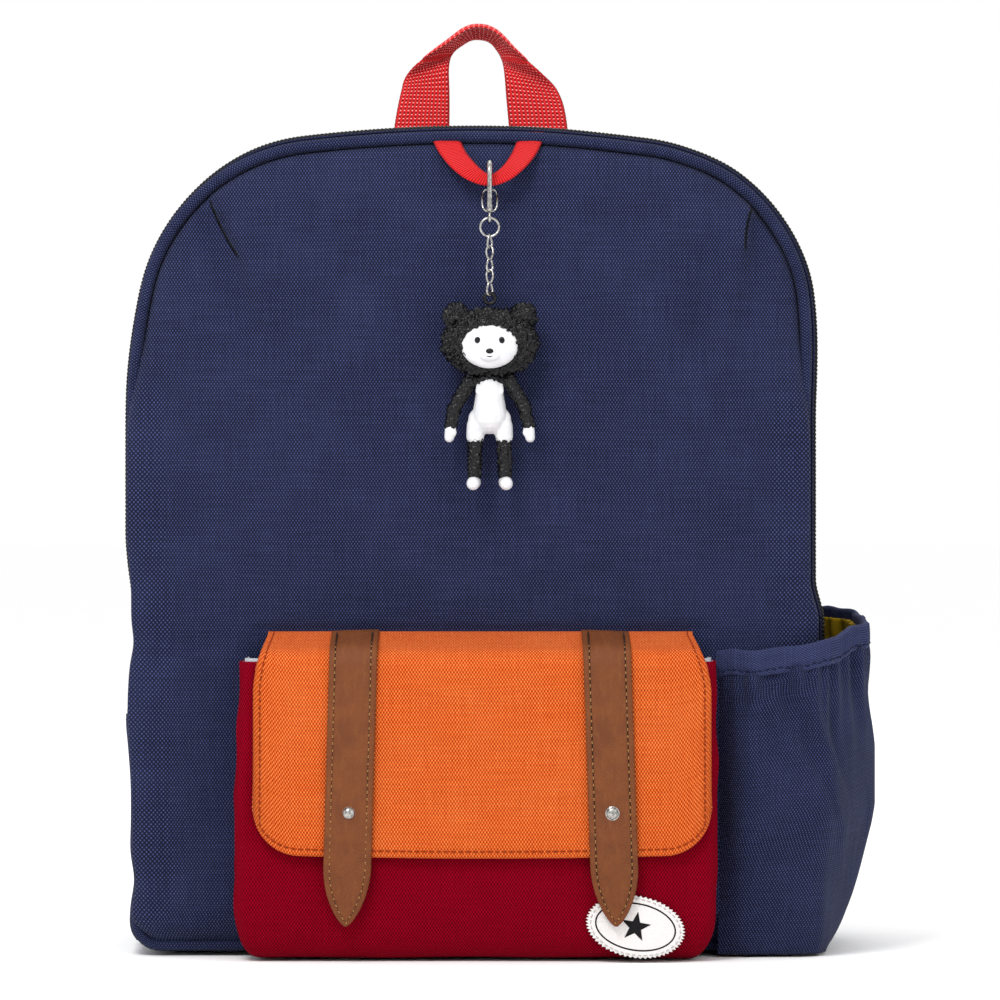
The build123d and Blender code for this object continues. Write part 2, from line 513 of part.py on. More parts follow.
def make_clasp(eye_z):
    hook = strip([(CHARM_Y, eye_z + 1.8), (CHARM_Y - 0.3, HOOK_CROWN_Z), (HOOK_NOSE_Y, HOOK_CROWN_Z),
                  (HOOK_NOSE_Y, HOOK_NOSE_Z)], -1.8, 1.8, 2.6)
    hook = side_extrude(hook, CHARM_X - CLASP_BAR / 2, CHARM_X + CLASP_BAR / 2)
    across = Rot(0, 90, 0)
    at_eye = Pos(CHARM_X, CHARM_Y, eye_z) * across
    pivot_y, pivot_z = CHARM_Y + GATE_PIVOT[0], eye_z + GATE_PIVOT[1]
    at_pivot = Pos(CHARM_X, pivot_y, pivot_z) * across
    lug = block(CHARM_X - CLASP_BAR / 2, CHARM_X + CLASP_BAR / 2, CHARM_Y - 0.5, CHARM_Y + 3, eye_z + 2.8, eye_z + 6)
    bore = at_eye * Cylinder(CLASP_EYE_BORE_R, CLASP_BAR + 1)
    hook = hook + lug - at_pivot * Cylinder(0.55, 20)
    save(hook + (at_eye * Cylinder(CLASP_EYE_R, CLASP_BAR) - bore) - bore, "clasp_hook")

    gate = at_pivot * Cylinder(GATE_R, 2 * GATE_FOOT_HALF)
    top_y, top_z = GATE_TIP
    for s in (-1, 1):
        foot = (CHARM_X + s * GATE_FOOT_HALF, pivot_y, pivot_z)
        knee = (CHARM_X + s * GATE_HALF, pivot_y + 1.2, pivot_z + 2.2)
        shoulder = (CHARM_X + s * GATE_HALF, top_y - 0.6, top_z - 2.2)
        gate += rod(foot, knee, GATE_R) + rod(knee, shoulder, GATE_R)
        gate += rod(shoulder, (CHARM_X + s * 1.0, top_y, top_z), GATE_R)
    gate += rod((CHARM_X - 1.0, top_y, top_z), (CHARM_X + 1.0, top_y, top_z), GATE_R)
    save(gate, "clasp_gate")


def make_charm():
    make_ribbon()
    heights = link_heights()
    make_clasp(heights[0] + RING_INNER + RING_WIRE)
    save(wire_ring(heights[0], RING_INNER, RING_WIRE, "XZ"), "jump_ring")
    for i, z in enumerate(heights[1:-1]):
        name = f"chain_link_{i + 1}" if i < 4 else "chain_end_link"
        save(wire_ring(z, LINK_INNER, LINK_WIRE, "YZ" if i % 2 == 0 else "XZ"), name)
    make_bear(heights[-1])


def make_bear(eyelet_z):
    """A plain moulded bear: dark head, arms and legs, light face, romper and paws."""
    x, y = CHARM_X, CHARM_Y
    head_z = eyelet_z - HEAD_DROP
    face_y = y - FACE_OUT
    head = scale(Sphere(1), by=HEAD_HALF)
    ears = [Pos(s * EAR_X, 0, EAR_Z) * scale(Sphere(1), by=EAR_HALF) for s in (-1, 1)]
    eyelet = Pos(0, 0, HEAD_DROP) * Rot(90, 0, 0) * Torus(EYELET_INNER + EYELET_WIRE, EYELET_WIRE)
    neck = block(-1.6, 1.6, -1, 1, 13.5, 16.6)
    solid = Pos(x, y, head_z) * (head + ears[0] + ears[1] + neck + eyelet)
    solid = solid - block(x - 30, x + 30, y - 20, face_y, head_z - 30, head_z + 30)
    save(solid, "bear_head")
    face = slab(Pos(x, head_z - 1.5) * Ellipse(*FACE_HALF), face_y - FACE_THICK, face_y - 0.03)
    save(fillet(face.edges().group_by(Axis.Y)[0], 1.6), "bear_face")

    top, hips = head_z - TORSO_TOP, head_z - TORSO_BOTTOM
    torso = make_face(Polyline((x - TORSO_HALF_TOP, top), (x - TORSO_HALF_BOTTOM, hips), (x + TORSO_HALF_BOTTOM, hips),
                               (x + TORSO_HALF_TOP, top), close=True).edges())
    torso = slab(torso, y - TORSO_DEEP, y + TORSO_DEEP)
    torso = fillet(torso.edges().filter_by(Axis.Y), 1.6)
    save(torso, "bear_romper")
    limbs, paws = [], []
    for s in (-1, 1):
        elbow, wrist = (x + s * 15.2, y, hips + 10), (x + s * 16.4, y, hips + 1.5)
        arm = rod((x + s * 9.4, y, top - 2.6), elbow, ARM_R) + rod(elbow, wrist, ARM_R)
        limbs.append(arm - torso)
        hand = rod((x + s * 16.8, y, hips - 1.5), (x + s * 17.0, y, hips - 3.8), HAND_R)
        paws.append(hand - arm)
        leg = rod((x + s * 5.6, y, hips - 3.2), (x + s * 6.4, y, hips - 18.5), LEG_R)
        limbs.append(leg - torso)
        foot = rod((x + s * 6.2, y + 0.6, hips - 22.6), (x + s * 7.6, y - 3.6, hips - 23.2), LEG_R)
        paws.append(foot - leg)
    save(Compound(children=limbs), "bear_limbs")
    save(Compound(children=paws), "bear_paws")


make_body()
make_zip()
make_slider()
make_front_pocket()
make_flap()
make_side_pocket()
make_handle()
make_straps()
make_charm()
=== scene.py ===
"""The school backpack's visible surfaces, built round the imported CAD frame. Shapes are worked out in millimetres."""

import math

import bmesh
import bpy
import numpy as np
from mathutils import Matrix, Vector, kdtree, noise


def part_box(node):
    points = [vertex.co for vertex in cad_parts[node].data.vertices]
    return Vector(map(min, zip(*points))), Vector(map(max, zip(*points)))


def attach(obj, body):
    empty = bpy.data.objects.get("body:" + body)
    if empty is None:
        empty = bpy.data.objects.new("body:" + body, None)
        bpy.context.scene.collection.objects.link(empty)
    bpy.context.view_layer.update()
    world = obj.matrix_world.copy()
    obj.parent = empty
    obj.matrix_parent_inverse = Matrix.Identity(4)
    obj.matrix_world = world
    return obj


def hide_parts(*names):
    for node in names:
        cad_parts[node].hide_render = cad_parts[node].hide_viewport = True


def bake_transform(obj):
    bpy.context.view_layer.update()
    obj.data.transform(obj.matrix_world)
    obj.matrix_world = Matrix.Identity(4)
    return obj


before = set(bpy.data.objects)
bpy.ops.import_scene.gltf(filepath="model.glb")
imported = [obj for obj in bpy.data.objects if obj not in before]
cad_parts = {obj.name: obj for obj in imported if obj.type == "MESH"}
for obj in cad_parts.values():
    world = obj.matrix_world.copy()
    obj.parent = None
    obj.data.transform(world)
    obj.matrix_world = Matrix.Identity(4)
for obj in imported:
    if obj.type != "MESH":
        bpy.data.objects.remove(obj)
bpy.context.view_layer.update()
scene = bpy.context.scene
scene.view_settings.view_transform = "Standard"
MM = 0.001

# The camera: straight on, as high as the middle of the bag, far enough back for a product picture.
camera = bpy.data.objects.new("camera", bpy.data.cameras.new("camera"))
scene.collection.objects.link(camera)
camera.location = (0.0105, -2.265, 0.191)
camera.rotation_euler = (math.radians(90), 0, 0)
camera.data.sensor_width = 36
camera.data.lens = 188.6
camera.data.clip_end = 50
scene.camera = camera

# ---------------- the body's driving dimensions, mm
HALF_WIDTH = 146.3
CROWN_Z, CROWN_R, CROWN_TURN = -264.0, 612.0, math.radians(6.8)
SHOULDER_X, SHOULDER_Z, SHOULDER_R = 62.87, 263.26, 81.0
SIDE_Z, SIDE_R, SIDE_TURN = 235.48, 241.0, math.radians(10)
BASE_R = 14.0
FRONT_SEAM_Y, FRONT_Y = -62.0, -73.0
FOLD_Z = 141.2
ZIP_Y = -51.9
ZIP_END_Z = 100.1
PIPING_INSET, PIPING_R, BACK_PIPING_R = 4.4, 2.6, 1.8
# How far the side, top and base panels reach to the front and to the back.
PANEL_Y = 62.4
# The cloth's thickness, and the least height above the floor of anything inside it.
CLOTH, LOWEST = 1.5, 0.06


# ---------------- materials
def linear(rgb):
    """A display colour, 0 to 255, as the linear one that the shaders work in."""
    out = [(c / 255 / 12.92) if c / 255 <= 0.04045 else ((c / 255 + 0.055) / 1.055) ** 2.4 for c in rgb]
    return (*out, 1.0)


class Look:
    """A principled material and the few node shapes that all the finishes are made from."""

    def __init__(self, name, roughness=0.8, metallic=0.0, sheen=0.0, specular=0.3, coat=0.0):
        self.material = bpy.data.materials.new(name)
        self.material.use_nodes = True
        self.tree = self.material.node_tree
        self.tree.nodes.clear()
        self.shader = self.tree.nodes.new("ShaderNodeBsdfPrincipled")
        output = self.tree.nodes.new("ShaderNodeOutputMaterial")
        self.tree.links.new(self.shader.outputs[0], output.inputs[0])
        self.fill(self.shader, {"Roughness": roughness, "Metallic": metallic, "Sheen Weight": sheen,
                                "Specular IOR Level": specular, "Coat Weight": coat})

    def fill(self, node, inputs):
        """Gives each named or numbered input its value, or a link to the node it comes from."""
        for key, value in inputs.items():
            if isinstance(value, bpy.types.NodeSocket):
                self.tree.links.new(value, node.inputs[key])
            elif value is not None:
                node.inputs[key].default_value = value

    def node(self, kind, inputs, output=0, **settings):
        """A new node's output, with its settings made and its inputs filled."""
        node = self.tree.nodes.new("ShaderNode" + kind)
        for key, value in settings.items():
            setattr(node, key, value)
        self.fill(node, inputs)
        return node.outputs[output]

    def math(self, operation, a, b=None):
        return self.node("Math", {0: a, 1: b}, operation=operation)

    def add(self, a, b):
        return self.math("ADD", a, b)

    def sub(self, a, b):
        return self.math("SUBTRACT", a, b)

    def mul(self, a, b):
        return self.math("MULTIPLY", a, b)

    def step(self, value, low, high):
        """0 below low and 1 above high, turning smoothly between."""
        return self.node("MapRange", {0: value, 1: low, 2: high}, interpolation_type="SMOOTHSTEP")

    def mix(self, share, a, b):
        return self.node("Mix", {0: share, 6: a, 7: b}, 2, data_type="RGBA")

    def cloth_map(self):
        """The piece's own map, in millimetres along and across the cloth."""
        return self.node("UVMap", {}, uv_map="cloth")

    def solid_map(self):
        """Places in the piece itself, in millimetres."""
        return self.scaled(self.node("TexCoord", {}, "Object"), (1000, 1000, 1000))

    def scaled(self, vector, by):
        return self.node("VectorMath", {0: vector, 1: by}, operation="MULTIPLY")

    def parts(self, vector):
        """The map's places across and along, as two numbers."""
        node = self.tree.nodes.new("ShaderNodeSeparateXYZ")
        self.fill(node, {0: vector})
        return node.outputs[0], node.outputs[1]

    def noise(self, vector, scale, detail=2.0, rough=0.5):
        return self.node("TexNoise", {"Vector": vector, "Scale": scale, "Detail": detail, "Roughness": rough})

    def cells(self, vector, scale):
        return self.node("TexVoronoi", {"Vector": vector, "Scale": scale})

    def bump(self, height, depth_mm):
        raised = self.node("Bump", {"Strength": 1.0, "Distance": depth_mm * MM, "Height": height})
        self.fill(self.shader, {"Normal": raised})

    def colour(self, value):
        self.fill(self.shader, {"Base Color": value})

    def rough(self, value):
        self.fill(self.shader, {"Roughness": value})


def wave(look, value, cell):
    """+1 at every second cell along value and -1 between."""
    return look.math("COSINE", look.mul(value, math.pi / cell))


def seam_line(look, x, y, start, end):
    """1 on a sewn line between two places of the cloth map and 0 beside it, with its far end fading out."""
    size = math.dist(start, end)
    ax, ay = (end[0] - start[0]) / size, (end[1] - start[1]) / size
    dx, dy = look.sub(x, start[0]), look.sub(y, start[1])
    along = look.add(look.mul(dx, ax), look.mul(dy, ay))
    aside = look.sub(look.mul(dx, ay), look.mul(dy, ax))
    bow = look.mul(look.math("SINE", look.mul(along, math.pi / size)), 0.9)
    near = look.sub(1.0, look.step(look.math("ABSOLUTE", look.sub(aside, bow)), 0.15, 0.75))
    inside = look.sub(look.step(along, -2.0, 1.0), look.step(along, size - 2.5, size + 1.0))
    return look.mul(near, inside)


def woven(name, base, dark, light, cell=(0.645, 0.97), sheen=0.03, depth=0.16, contrast=0.8, streaks=0.05,
          specular=0.14, seams=()):
    """Plain weave: threads over and under in a checkerboard of cells, with thread-to-thread variation and wear. The
    gaps between threads are painted shade, the thread tops a painted highlight, and dart seams a painted line of
    crease shade.
    """
    look = Look(name, roughness=0.85, sheen=sheen, specular=specular)
    flat = look.cloth_map()
    x, y = look.parts(flat)
    wander = look.mul(look.sub(look.noise(flat, 0.35), 0.5), 0.5)
    over = look.mul(wave(look, look.add(x, wander), cell[0]), wave(look, y, cell[1]))
    thread = look.noise(look.scaled(flat, (0.05, 1.0, 1)), 1.0)
    cross = look.noise(look.scaled(flat, (1.5, 0.05, 1)), 1.0)
    slubs = look.add(look.sub(thread, 0.5), look.sub(cross, 0.5))
    height = look.add(over, look.mul(slubs, 0.5))
    # Painted shade: the gaps between the threads are darkened towards the dark colour.
    body = look.mix(look.step(height, -1.15, 0.05), linear(dark), linear(base))
    # Painted highlight: the tops of the threads are lightened towards the light colour, as far as contrast allows.
    painted_crown_highlight = look.mul(look.step(height, 0.2, 1.2), contrast)
    body = look.mix(painted_crown_highlight, body, linear(light))
    faded = look.mul(look.step(look.noise(flat, 0.03, 3), 0.35, 0.75), streaks)
    body = look.mix(faded, body, linear(light))
    for start, end in seams:
        # Painted shade: each dart's sewn line is darkened as the shade in its crease; it is also sunk in the bump.
        line = seam_line(look, x, y, start, end)
        body = look.mix(line, body, linear([c * 0.3 for c in dark]))
        height = look.sub(height, look.mul(line, 5.0))
    look.colour(body)
    look.rough(look.sub(0.9, look.mul(look.step(height, 0, 1.5), 0.18)))
    look.bump(height, depth)
    return look.material


def ribbed(name, base, dark, light, pitch, across, depth=0.22, rib_highlight=0.6, specular=0.25):
    """Webbing and ribbon: ribs across the length, each broken into dots by the warp."""
    look = Look(name, roughness=0.6, sheen=0.03, specular=specular)
    flat = look.cloth_map()
    x, y = look.parts(flat)
    rib = wave(look, y, pitch / 2)
    dots = look.mul(rib, wave(look, x, across / 2))
    grain = look.sub(look.noise(look.scaled(flat, (2.2, 0.5, 1)), 1.0), 0.5)
    height = look.add(look.add(look.mul(rib, 0.55), dots), grain)
    # Painted shade: the hollows between the ribs and dots are darkened.
    body = look.mix(look.step(height, -1.2, 0.2), linear(dark), linear(base))
    # Painted highlight: the tops of the ribs and dots are lightened towards the light colour.
    look.colour(look.mix(look.mul(look.step(height, 0.4, 1.4), rib_highlight), body, linear(light)))
    look.bump(height, depth)
    return look.material


def leather(name, base, dark, light):
    look = Look(name, roughness=0.6, specular=0.22)
    flat = look.cloth_map()
    grain = look.cells(look.scaled(flat, (1, 1, 1)), 1.6)
    fine = look.noise(flat, 2.4, 5, 0.7)
    broad = look.noise(flat, 0.09, 4, 0.6)
    scuffs = look.noise(look.scaled(flat, (0.5, 0.12, 1)), 1.0, 4)
    body = look.mix(look.step(broad, 0.3, 0.7), linear(dark), linear(base))
    body = look.mix(look.mul(look.step(scuffs, 0.5, 0.8), 0.35), body, linear(light))
    look.colour(look.mix(look.mul(look.step(fine, 0.42, 0.8), 0.6), body, linear(light)))
    look.rough(look.add(0.48, look.mul(fine, 0.3)))
    look.bump(look.add(grain, look.mul(fine, 0.9)), 0.14)
    return look.material


def moulded(name, base, light, roughness, scale, depth, coat=0.0, specular=0.5, drift=0.25):
    """Vinyl, nylon and foam: one colour that drifts a little, with a grain of the given scale. On the black vinyl the
    second colour is a painted highlight, in fine flecks.
    """
    look = Look(name, roughness=roughness, specular=specular, coat=coat)
    place = look.solid_map()
    fine = look.noise(place, scale, 4, 0.6)
    look.colour(look.mix(look.step(look.noise(place, drift, 3), 0.35, 0.8), linear(base), linear(light)))
    look.rough(look.add(roughness - 0.1, look.mul(fine, 0.2)))
    look.bump(fine, depth)
    return look.material


def metal(name, base, painted_dark_reflection, roughness):
    look = Look(name, roughness=roughness, metallic=1.0, specular=0.5)
    place = look.solid_map()
    broad = look.noise(place, 1.1, 3, 0.6)
    # Painted reflection: broad patches darken towards the second colour, as the nickel would mirror darker
    # surroundings.
    look.colour(look.mix(look.step(broad, 0.4, 0.75), linear(base), linear(painted_dark_reflection)))
    look.rough(look.add(roughness, look.mul(look.noise(place, 3.0, 3), 0.12)))
    look.bump(look.noise(look.scaled(place, (6, 6, 1.2)), 1.0), 0.01)
    return look.material


def thread_look(name, base, dark):
    """Sewing thread: two plies twisting round each other."""
    look = Look(name, roughness=0.6, sheen=0.03, specular=0.12)
    x, y = look.parts(look.cloth_map())
    ply = look.math("SINE", look.add(look.mul(x, 9.0), look.mul(y, 7.0)))
    look.colour(look.mix(look.step(ply, -0.8, 0.6), linear(dark), linear(base)))
    look.bump(ply, 0.05)
    return look.material


# Each sewn dart's start and end in the front's (x, z), and how far the cloth on one side of it steps up.
DARTS = [((-111, 316), (-98.7, 292.0), 2.2), ((116.3, 314), (113.2, 295.0), -2.2)]
# A weave's base colour, the painted shade between its threads and the painted highlight on top of them.
NAVY_COLOURS = (22, 27, 54), (3, 4, 14), (79, 88, 137)
NAVY = woven("navy_canvas", *NAVY_COLOURS, contrast=0.9)
# The front's cloth has its darts' lines painted dark, as crease shade.
NAVY_FRONT = woven("navy_front", *NAVY_COLOURS, contrast=0.9, seams=[dart[:2] for dart in DARTS])
NAVY_HEM = woven("navy_elastic", (42, 48, 82), (12, 15, 36), (84, 92, 136), cell=(0.9, 0.5), depth=0.12)
RED = woven("red_canvas", (118, 0, 20), (60, 0, 8), (160, 4, 38), sheen=0.0, specular=0.03)
ORANGE = woven("orange_canvas", (200, 80, 20), (118, 26, 4), (246, 156, 88), contrast=0.95, specular=0.1)
LINING = woven("grey_lining", (178, 180, 188), (140, 142, 150), (206, 208, 214), cell=(0.3, 0.3), depth=0.04)
YELLOW = woven("yellow_lining", (214, 172, 20), (162, 124, 8), (234, 206, 70), cell=(0.35, 0.35), depth=0.05)
TAPE = woven("navy_tape", (26, 31, 62), (8, 10, 28), (60, 68, 110), cell=(0.4, 0.6), depth=0.08)
RED_WEBBING = ribbed("red_webbing", (222, 22, 26), (150, 5, 9), (255, 186, 182), 1.75, 1.9, rib_highlight=0.95)
RED_RIBBON = ribbed("red_ribbon", (200, 12, 18), (150, 6, 12), (226, 46, 48), 0.95, 80.0, depth=0.08, specular=0.15)
NAVY_WEBBING = ribbed("navy_webbing", (36, 43, 82), (12, 15, 40), (80, 90, 140), 1.75, 1.9)
BROWN = leather("brown_leather", (112, 60, 27), (97, 50, 23), (134, 82, 44))
NYLON = moulded("zip_nylon", (3, 4, 9), (10, 12, 22), 0.42, 1.2, 0.03, specular=0.18)
PLASTIC = moulded("black_plastic", (14, 14, 16), (30, 30, 34), 0.42, 1.6, 0.04)
# The black vinyl's lighter flecks are painted highlights.
BLACK_VINYL = moulded("black_vinyl", (1, 1, 2), (34, 34, 37), 0.12, 1.3, 0.22, specular=0.24, drift=1.3)
WHITE_VINYL = moulded("white_vinyl", (214, 214, 216), (202, 203, 207), 0.35, 0.8, 0.02, coat=0.1)
BADGE_WHITE = woven("badge_white", (232, 229, 227), (196, 192, 190), (248, 247, 246), cell=(0.35, 0.35), depth=0.06)
BADGE_INK = woven("badge_ink", (22, 20, 22), (8, 8, 9), (48, 46, 50), cell=(0.35, 0.35), depth=0.06)
FOAM = moulded("foam", (196, 196, 190), (220, 220, 214), 0.9, 2.0, 0.2, specular=0.2)
# Nickel's second colour is a painted dark reflection.
NICKEL = metal("nickel", (182, 180, 176), (92, 90, 86), 0.16)
NAVY_THREAD = thread_look("navy_thread", (30, 36, 72), (14, 18, 42))
ORANGE_THREAD = thread_look("orange_thread", (176, 62, 12), (84, 24, 4))
TAN_THREAD = thread_look("tan_thread", (186, 138, 84), (124, 82, 42))
# Painted shade: this dark thread stands for the shade in the leather's stitch groove and holes.
STITCH_GROOVE_SHADE = thread_look("stitch_groove_shade", (50, 26, 12), (24, 12, 5))
WHITE_THREAD = thread_look("white_thread", (222, 220, 218), (170, 168, 166))


# ---------------- mesh helpers
def piece(name, points, faces, materials, flat=None, face_materials=None, smooth=True):
    """A mesh from points in mm, with its cloth map and its materials. Grids of points or places are flattened."""
    data = bpy.data.meshes.new(name)
    data.from_pydata((np.asarray(points, float).reshape(-1, 3) * MM).tolist(), [], faces)
    for material in materials:
        data.materials.append(material)
    if face_materials is not None:
        data.polygons.foreach_set("material_index", np.asarray(face_materials, np.int32))
    data.polygons.foreach_set("use_smooth", np.full(len(data.polygons), smooth))
    if flat is not None:
        corners = np.zeros(len(data.loops), np.int32)
        data.loops.foreach_get("vertex_index", corners)
        flat = np.asarray(flat, np.float32).reshape(-1, 2)
        data.uv_layers.new(name="cloth").data.foreach_set("uv", flat[corners].ravel())
    data.validate()
    data.update()
    obj = bpy.data.objects.new(name, data)
    scene.collection.objects.link(obj)
    return obj


def quads(rows, columns, wrap_rows=False, wrap_columns=False, start=0):
    """Faces of a grid of points, row by row; a wrapped direction joins its end to its start."""
    r = np.arange(rows if wrap_rows else rows - 1)
    c = np.arange(columns if wrap_columns else columns - 1)
    r, c = [a.ravel() for a in np.meshgrid(r, c, indexing="ij")]
    r1, c1 = (r + 1) % rows, (c + 1) % columns
    grid = np.stack([r * columns + c, r * columns + c1, r1 * columns + c1, r1 * columns + c], 1)
    return (grid + start).tolist()


def lengths(points, axis):
    """How far along each point of a grid is, measured over the surface from the first."""
    steps = np.linalg.norm(np.diff(points, axis=axis), axis=2)
    pad = [(0, 0), (0, 0)]
    pad[axis] = (1, 0)
    return np.cumsum(np.pad(steps, pad), axis=axis)


def grid_map(grid):
    """The cloth map of a grid: its arc lengths, measured from the middle of each row."""
    along = lengths(grid, 1)
    along = along - along[:, grid.shape[1] // 2][:, None]
    down = lengths(grid, 0)
    down = np.repeat(down.mean(axis=1)[:, None], grid.shape[1], axis=1)
    return np.stack([along, down], 2)


def normals(grid):
    """Unit normals of a grid, on the side from which its faces run anticlockwise."""
    n = np.cross(np.gradient(grid, axis=1), np.gradient(grid, axis=0))
    size = np.linalg.norm(n, axis=2, keepdims=True)
    return n / np.maximum(size, 1e-9)


def unit(rows):
    """Each row of numbers as a direction of length 1."""
    return rows / np.linalg.norm(rows, axis=1, keepdims=True)


def heading(line):
    """The direction of a line at each of its points."""
    return unit(np.gradient(line, axis=0))


def travel(line):
    """How far along a line each of its points is."""
    return np.concatenate([[0], np.cumsum(np.linalg.norm(np.diff(line, axis=0), axis=1))])


def placed(at, along, line):
    """The places at the given distances on a line whose own points lie at the distances along."""
    return np.stack([np.interp(at, along, line[:, k]) for k in range(line.shape[1])], 1)


def even(line, count):
    """The line as count evenly spaced points."""
    along = travel(line)
    return placed(np.linspace(0, along[-1], count), along, line)


def spaced(line, step):
    """The same line with its points step apart."""
    return even(line, max(2, round(travel(line)[-1] / step) + 1))


def around(count):
    """Evenly spaced angles of one turn."""
    return np.linspace(0, 2 * math.pi, count, endpoint=False)


def box_mm(node):
    """The low and high corners of a CAD node's box, in mm."""
    return [np.array(v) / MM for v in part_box(node)]


def capped(count, sides):
    """Faces of a tube of count rings of points, with both ends closed."""
    ends = [list(range(sides))[::-1], [(count - 1) * sides + k for k in range(sides)]]
    return quads(count, sides, False, True) + ends


def joined(parts):
    """Several (points, faces) as one."""
    points, faces = [], []
    for own, own_faces in parts:
        start = sum(map(len, points))
        faces += [[k + start for k in face] for face in own_faces]
        points.append(own)
    return np.concatenate(points), faces


def pushed(grid, outward, push):
    """Moves a swept grid's points along the outline's normals, in place."""
    grid[:, :, 0] += outward[:, :1] * push
    grid[:, :, 2] += outward[:, 1:] * push


def recalculate(obj):
    """Turns every face outward."""
    bm = bmesh.new()
    bm.from_mesh(obj.data)
    bmesh.ops.recalc_face_normals(bm, faces=bm.faces)
    bm.to_mesh(obj.data)
    bm.free()


def belongs(obj, body, slot, *nodes):
    """Says which body the piece rides on, unless it's blended, and hides the CAD nodes that it stands for. slot is not
    used.
    """
    if body:
        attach(obj, body)
    if nodes:
        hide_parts(*nodes)


def cloth(name, grid, outside, inside=None, thick=CLOTH, flat=None):
    """A piece of cloth: the grid is its outer face, and a second layer and a rim close it."""
    rows, columns = grid.shape[:2]
    flat = grid_map(grid) if flat is None else flat
    inner = grid - normals(grid) * thick
    inner[:, :, 2] = np.maximum(inner[:, :, 2], LOWEST)
    points = np.concatenate([grid.reshape(-1, 3), inner.reshape(-1, 3)])
    layer = rows * columns
    front = quads(rows, columns)
    back = [f[::-1] for f in quads(rows, columns, start=layer)]
    index = np.arange(layer).reshape(rows, columns)
    edge = np.concatenate([index[0], index[1:, -1], index[-1, -2::-1], index[-2::-1, 0]]).tolist()
    rim = [[b, a, a + layer, b + layer] for a, b in zip(edge, edge[1:])]
    marks = [0] * len(front) + [1 if inside else 0] * len(back) + [0] * len(rim)
    materials = [outside, inside] if inside else [outside]
    flats = np.concatenate([flat.reshape(-1, 2)] * 2)
    return piece(name, points, front + back + rim, materials, flats, marks)


def ease(value, low, high):
    """0 up to low and 1 from high, turning smoothly between."""
    t = np.clip((np.asarray(value, float) - low) / (high - low), 0, 1)
    return t * t * (3 - 2 * t)


def bell(value, centre, width):
    """1 at the centre, falling smoothly to nothing beyond about twice the width."""
    return np.exp(-(((np.asarray(value, float) - centre) / width) ** 2))


def ripple(x, z, seed, size):
    """Smooth unevenness of about -1 to 1 whose lumps are about size across."""
    rng = np.random.default_rng(seed)
    total = np.zeros(np.broadcast(x, z).shape)
    for _ in range(7):
        angle, phase = rng.uniform(0, 2 * math.pi, 2)
        k = 2 * math.pi / (size * rng.uniform(0.8, 2.2))
        total = total + np.sin(k * (x * math.cos(angle) + z * math.sin(angle)) + phase)
    return total / 3.2


def rounded(corners, radius, step):
    """A polyline with its corners rounded, as evenly spaced points. Corners are points of 2 or 3 numbers."""
    corners = [np.asarray(c, float) for c in corners]
    line = [corners[0]]
    for before, here, after in zip(corners, corners[1:], corners[2:]):
        a, b = before - here, after - here
        la, lb = np.linalg.norm(a), np.linalg.norm(b)
        a, b = a / la, b / lb
        half = math.acos(np.clip(a @ b, -1, 1)) / 2
        reach = min(radius / math.tan(half), la * 0.48, lb * 0.48)
        for t in np.linspace(0, 1, 9):
            line.append(here + a * reach * (1 - t) ** 2 + b * reach * t**2)
    line.append(corners[-1])
    return spaced(np.array(line), step)


def rod_rings(line, radius, sides, first=(0, 1, 0)):
    """Rings of points round a 3-D line, without twist. radius is one number or one for each point."""
    line = np.asarray(line, float)
    tangent = heading(line)
    side = np.array(first, float)
    radius = np.broadcast_to(radius, len(line))
    turn = around(sides)
    rings = []
    for p, t, r in zip(line, tangent, radius):
        side = side - t * (side @ t)
        if np.linalg.norm(side) < 1e-6:
            side = np.cross(t, [1.0, 0.0, 0.0])
        side /= np.linalg.norm(side)
        other = np.cross(t, side)
        rings.append(p + r * (np.cos(turn)[:, None] * side + np.sin(turn)[:, None] * other))
    return np.array(rings)


def stitches(name, line, out, thread, body=None, pitch=3.2, share=0.68, radius=0.28, lift=0.12):
    """A row of lock stitches along a line: each a short thread that dips into the cloth at both ends."""
    line = np.asarray(line, float)
    along = travel(line)
    out = np.broadcast_to(np.asarray(out, float), line.shape)
    count = int(along[-1] / pitch)
    points, faces, flat = [], [], []
    profile = np.linspace(-0.5, 0.5, 6)
    for k in range(count):
        at = (k + 0.5) * along[-1] / count + profile * pitch * share
        centre, up = placed(at, along, line), placed(at, along, out)
        dip = (1 - (2 * profile) ** 4)[:, None]
        rings = rod_rings(centre + up * (lift + radius * 0.5) * dip - up * 0.25 * (1 - dip), radius, 6, first=up[0])
        faces += quads(6, 6, wrap_columns=True, start=len(points) * 36)
        points.append(rings.reshape(-1, 3))
        flat.append(np.stack(np.meshgrid(at, np.arange(6) * 0.3, indexing="ij"), 2).reshape(-1, 2))
    obj = piece(name, np.concatenate(points), faces, [thread], np.concatenate(flat))
    if body:
        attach(obj, body)
    return obj


# ---------------- the outline
def slack(x, z):
    """How far the soft body stands out from, or sinks in behind, its stiff outline: it leans a little to its left."""
    left, right = ease(-x, 90, 140), ease(x, 90, 140)
    low = 1.5 * bell(z, 104, 20) - 1.2 * bell(z, 131, 7) - 1.9 * bell(z, 31, 9) - 0.4 * bell(z, 55, 16)
    high = ease(z, 150, 178) * (1 - ease(z, 222, 285))
    crown = 0.9 * ease(x, 20, 75) * (1 - ease(x, 88, 112)) * ease(z, 300, 335)
    return left * (low + 1.9 * high) - right * 3.5 * ease(z, 140, 158) * (1 - ease(z, 225, 292)) - crown


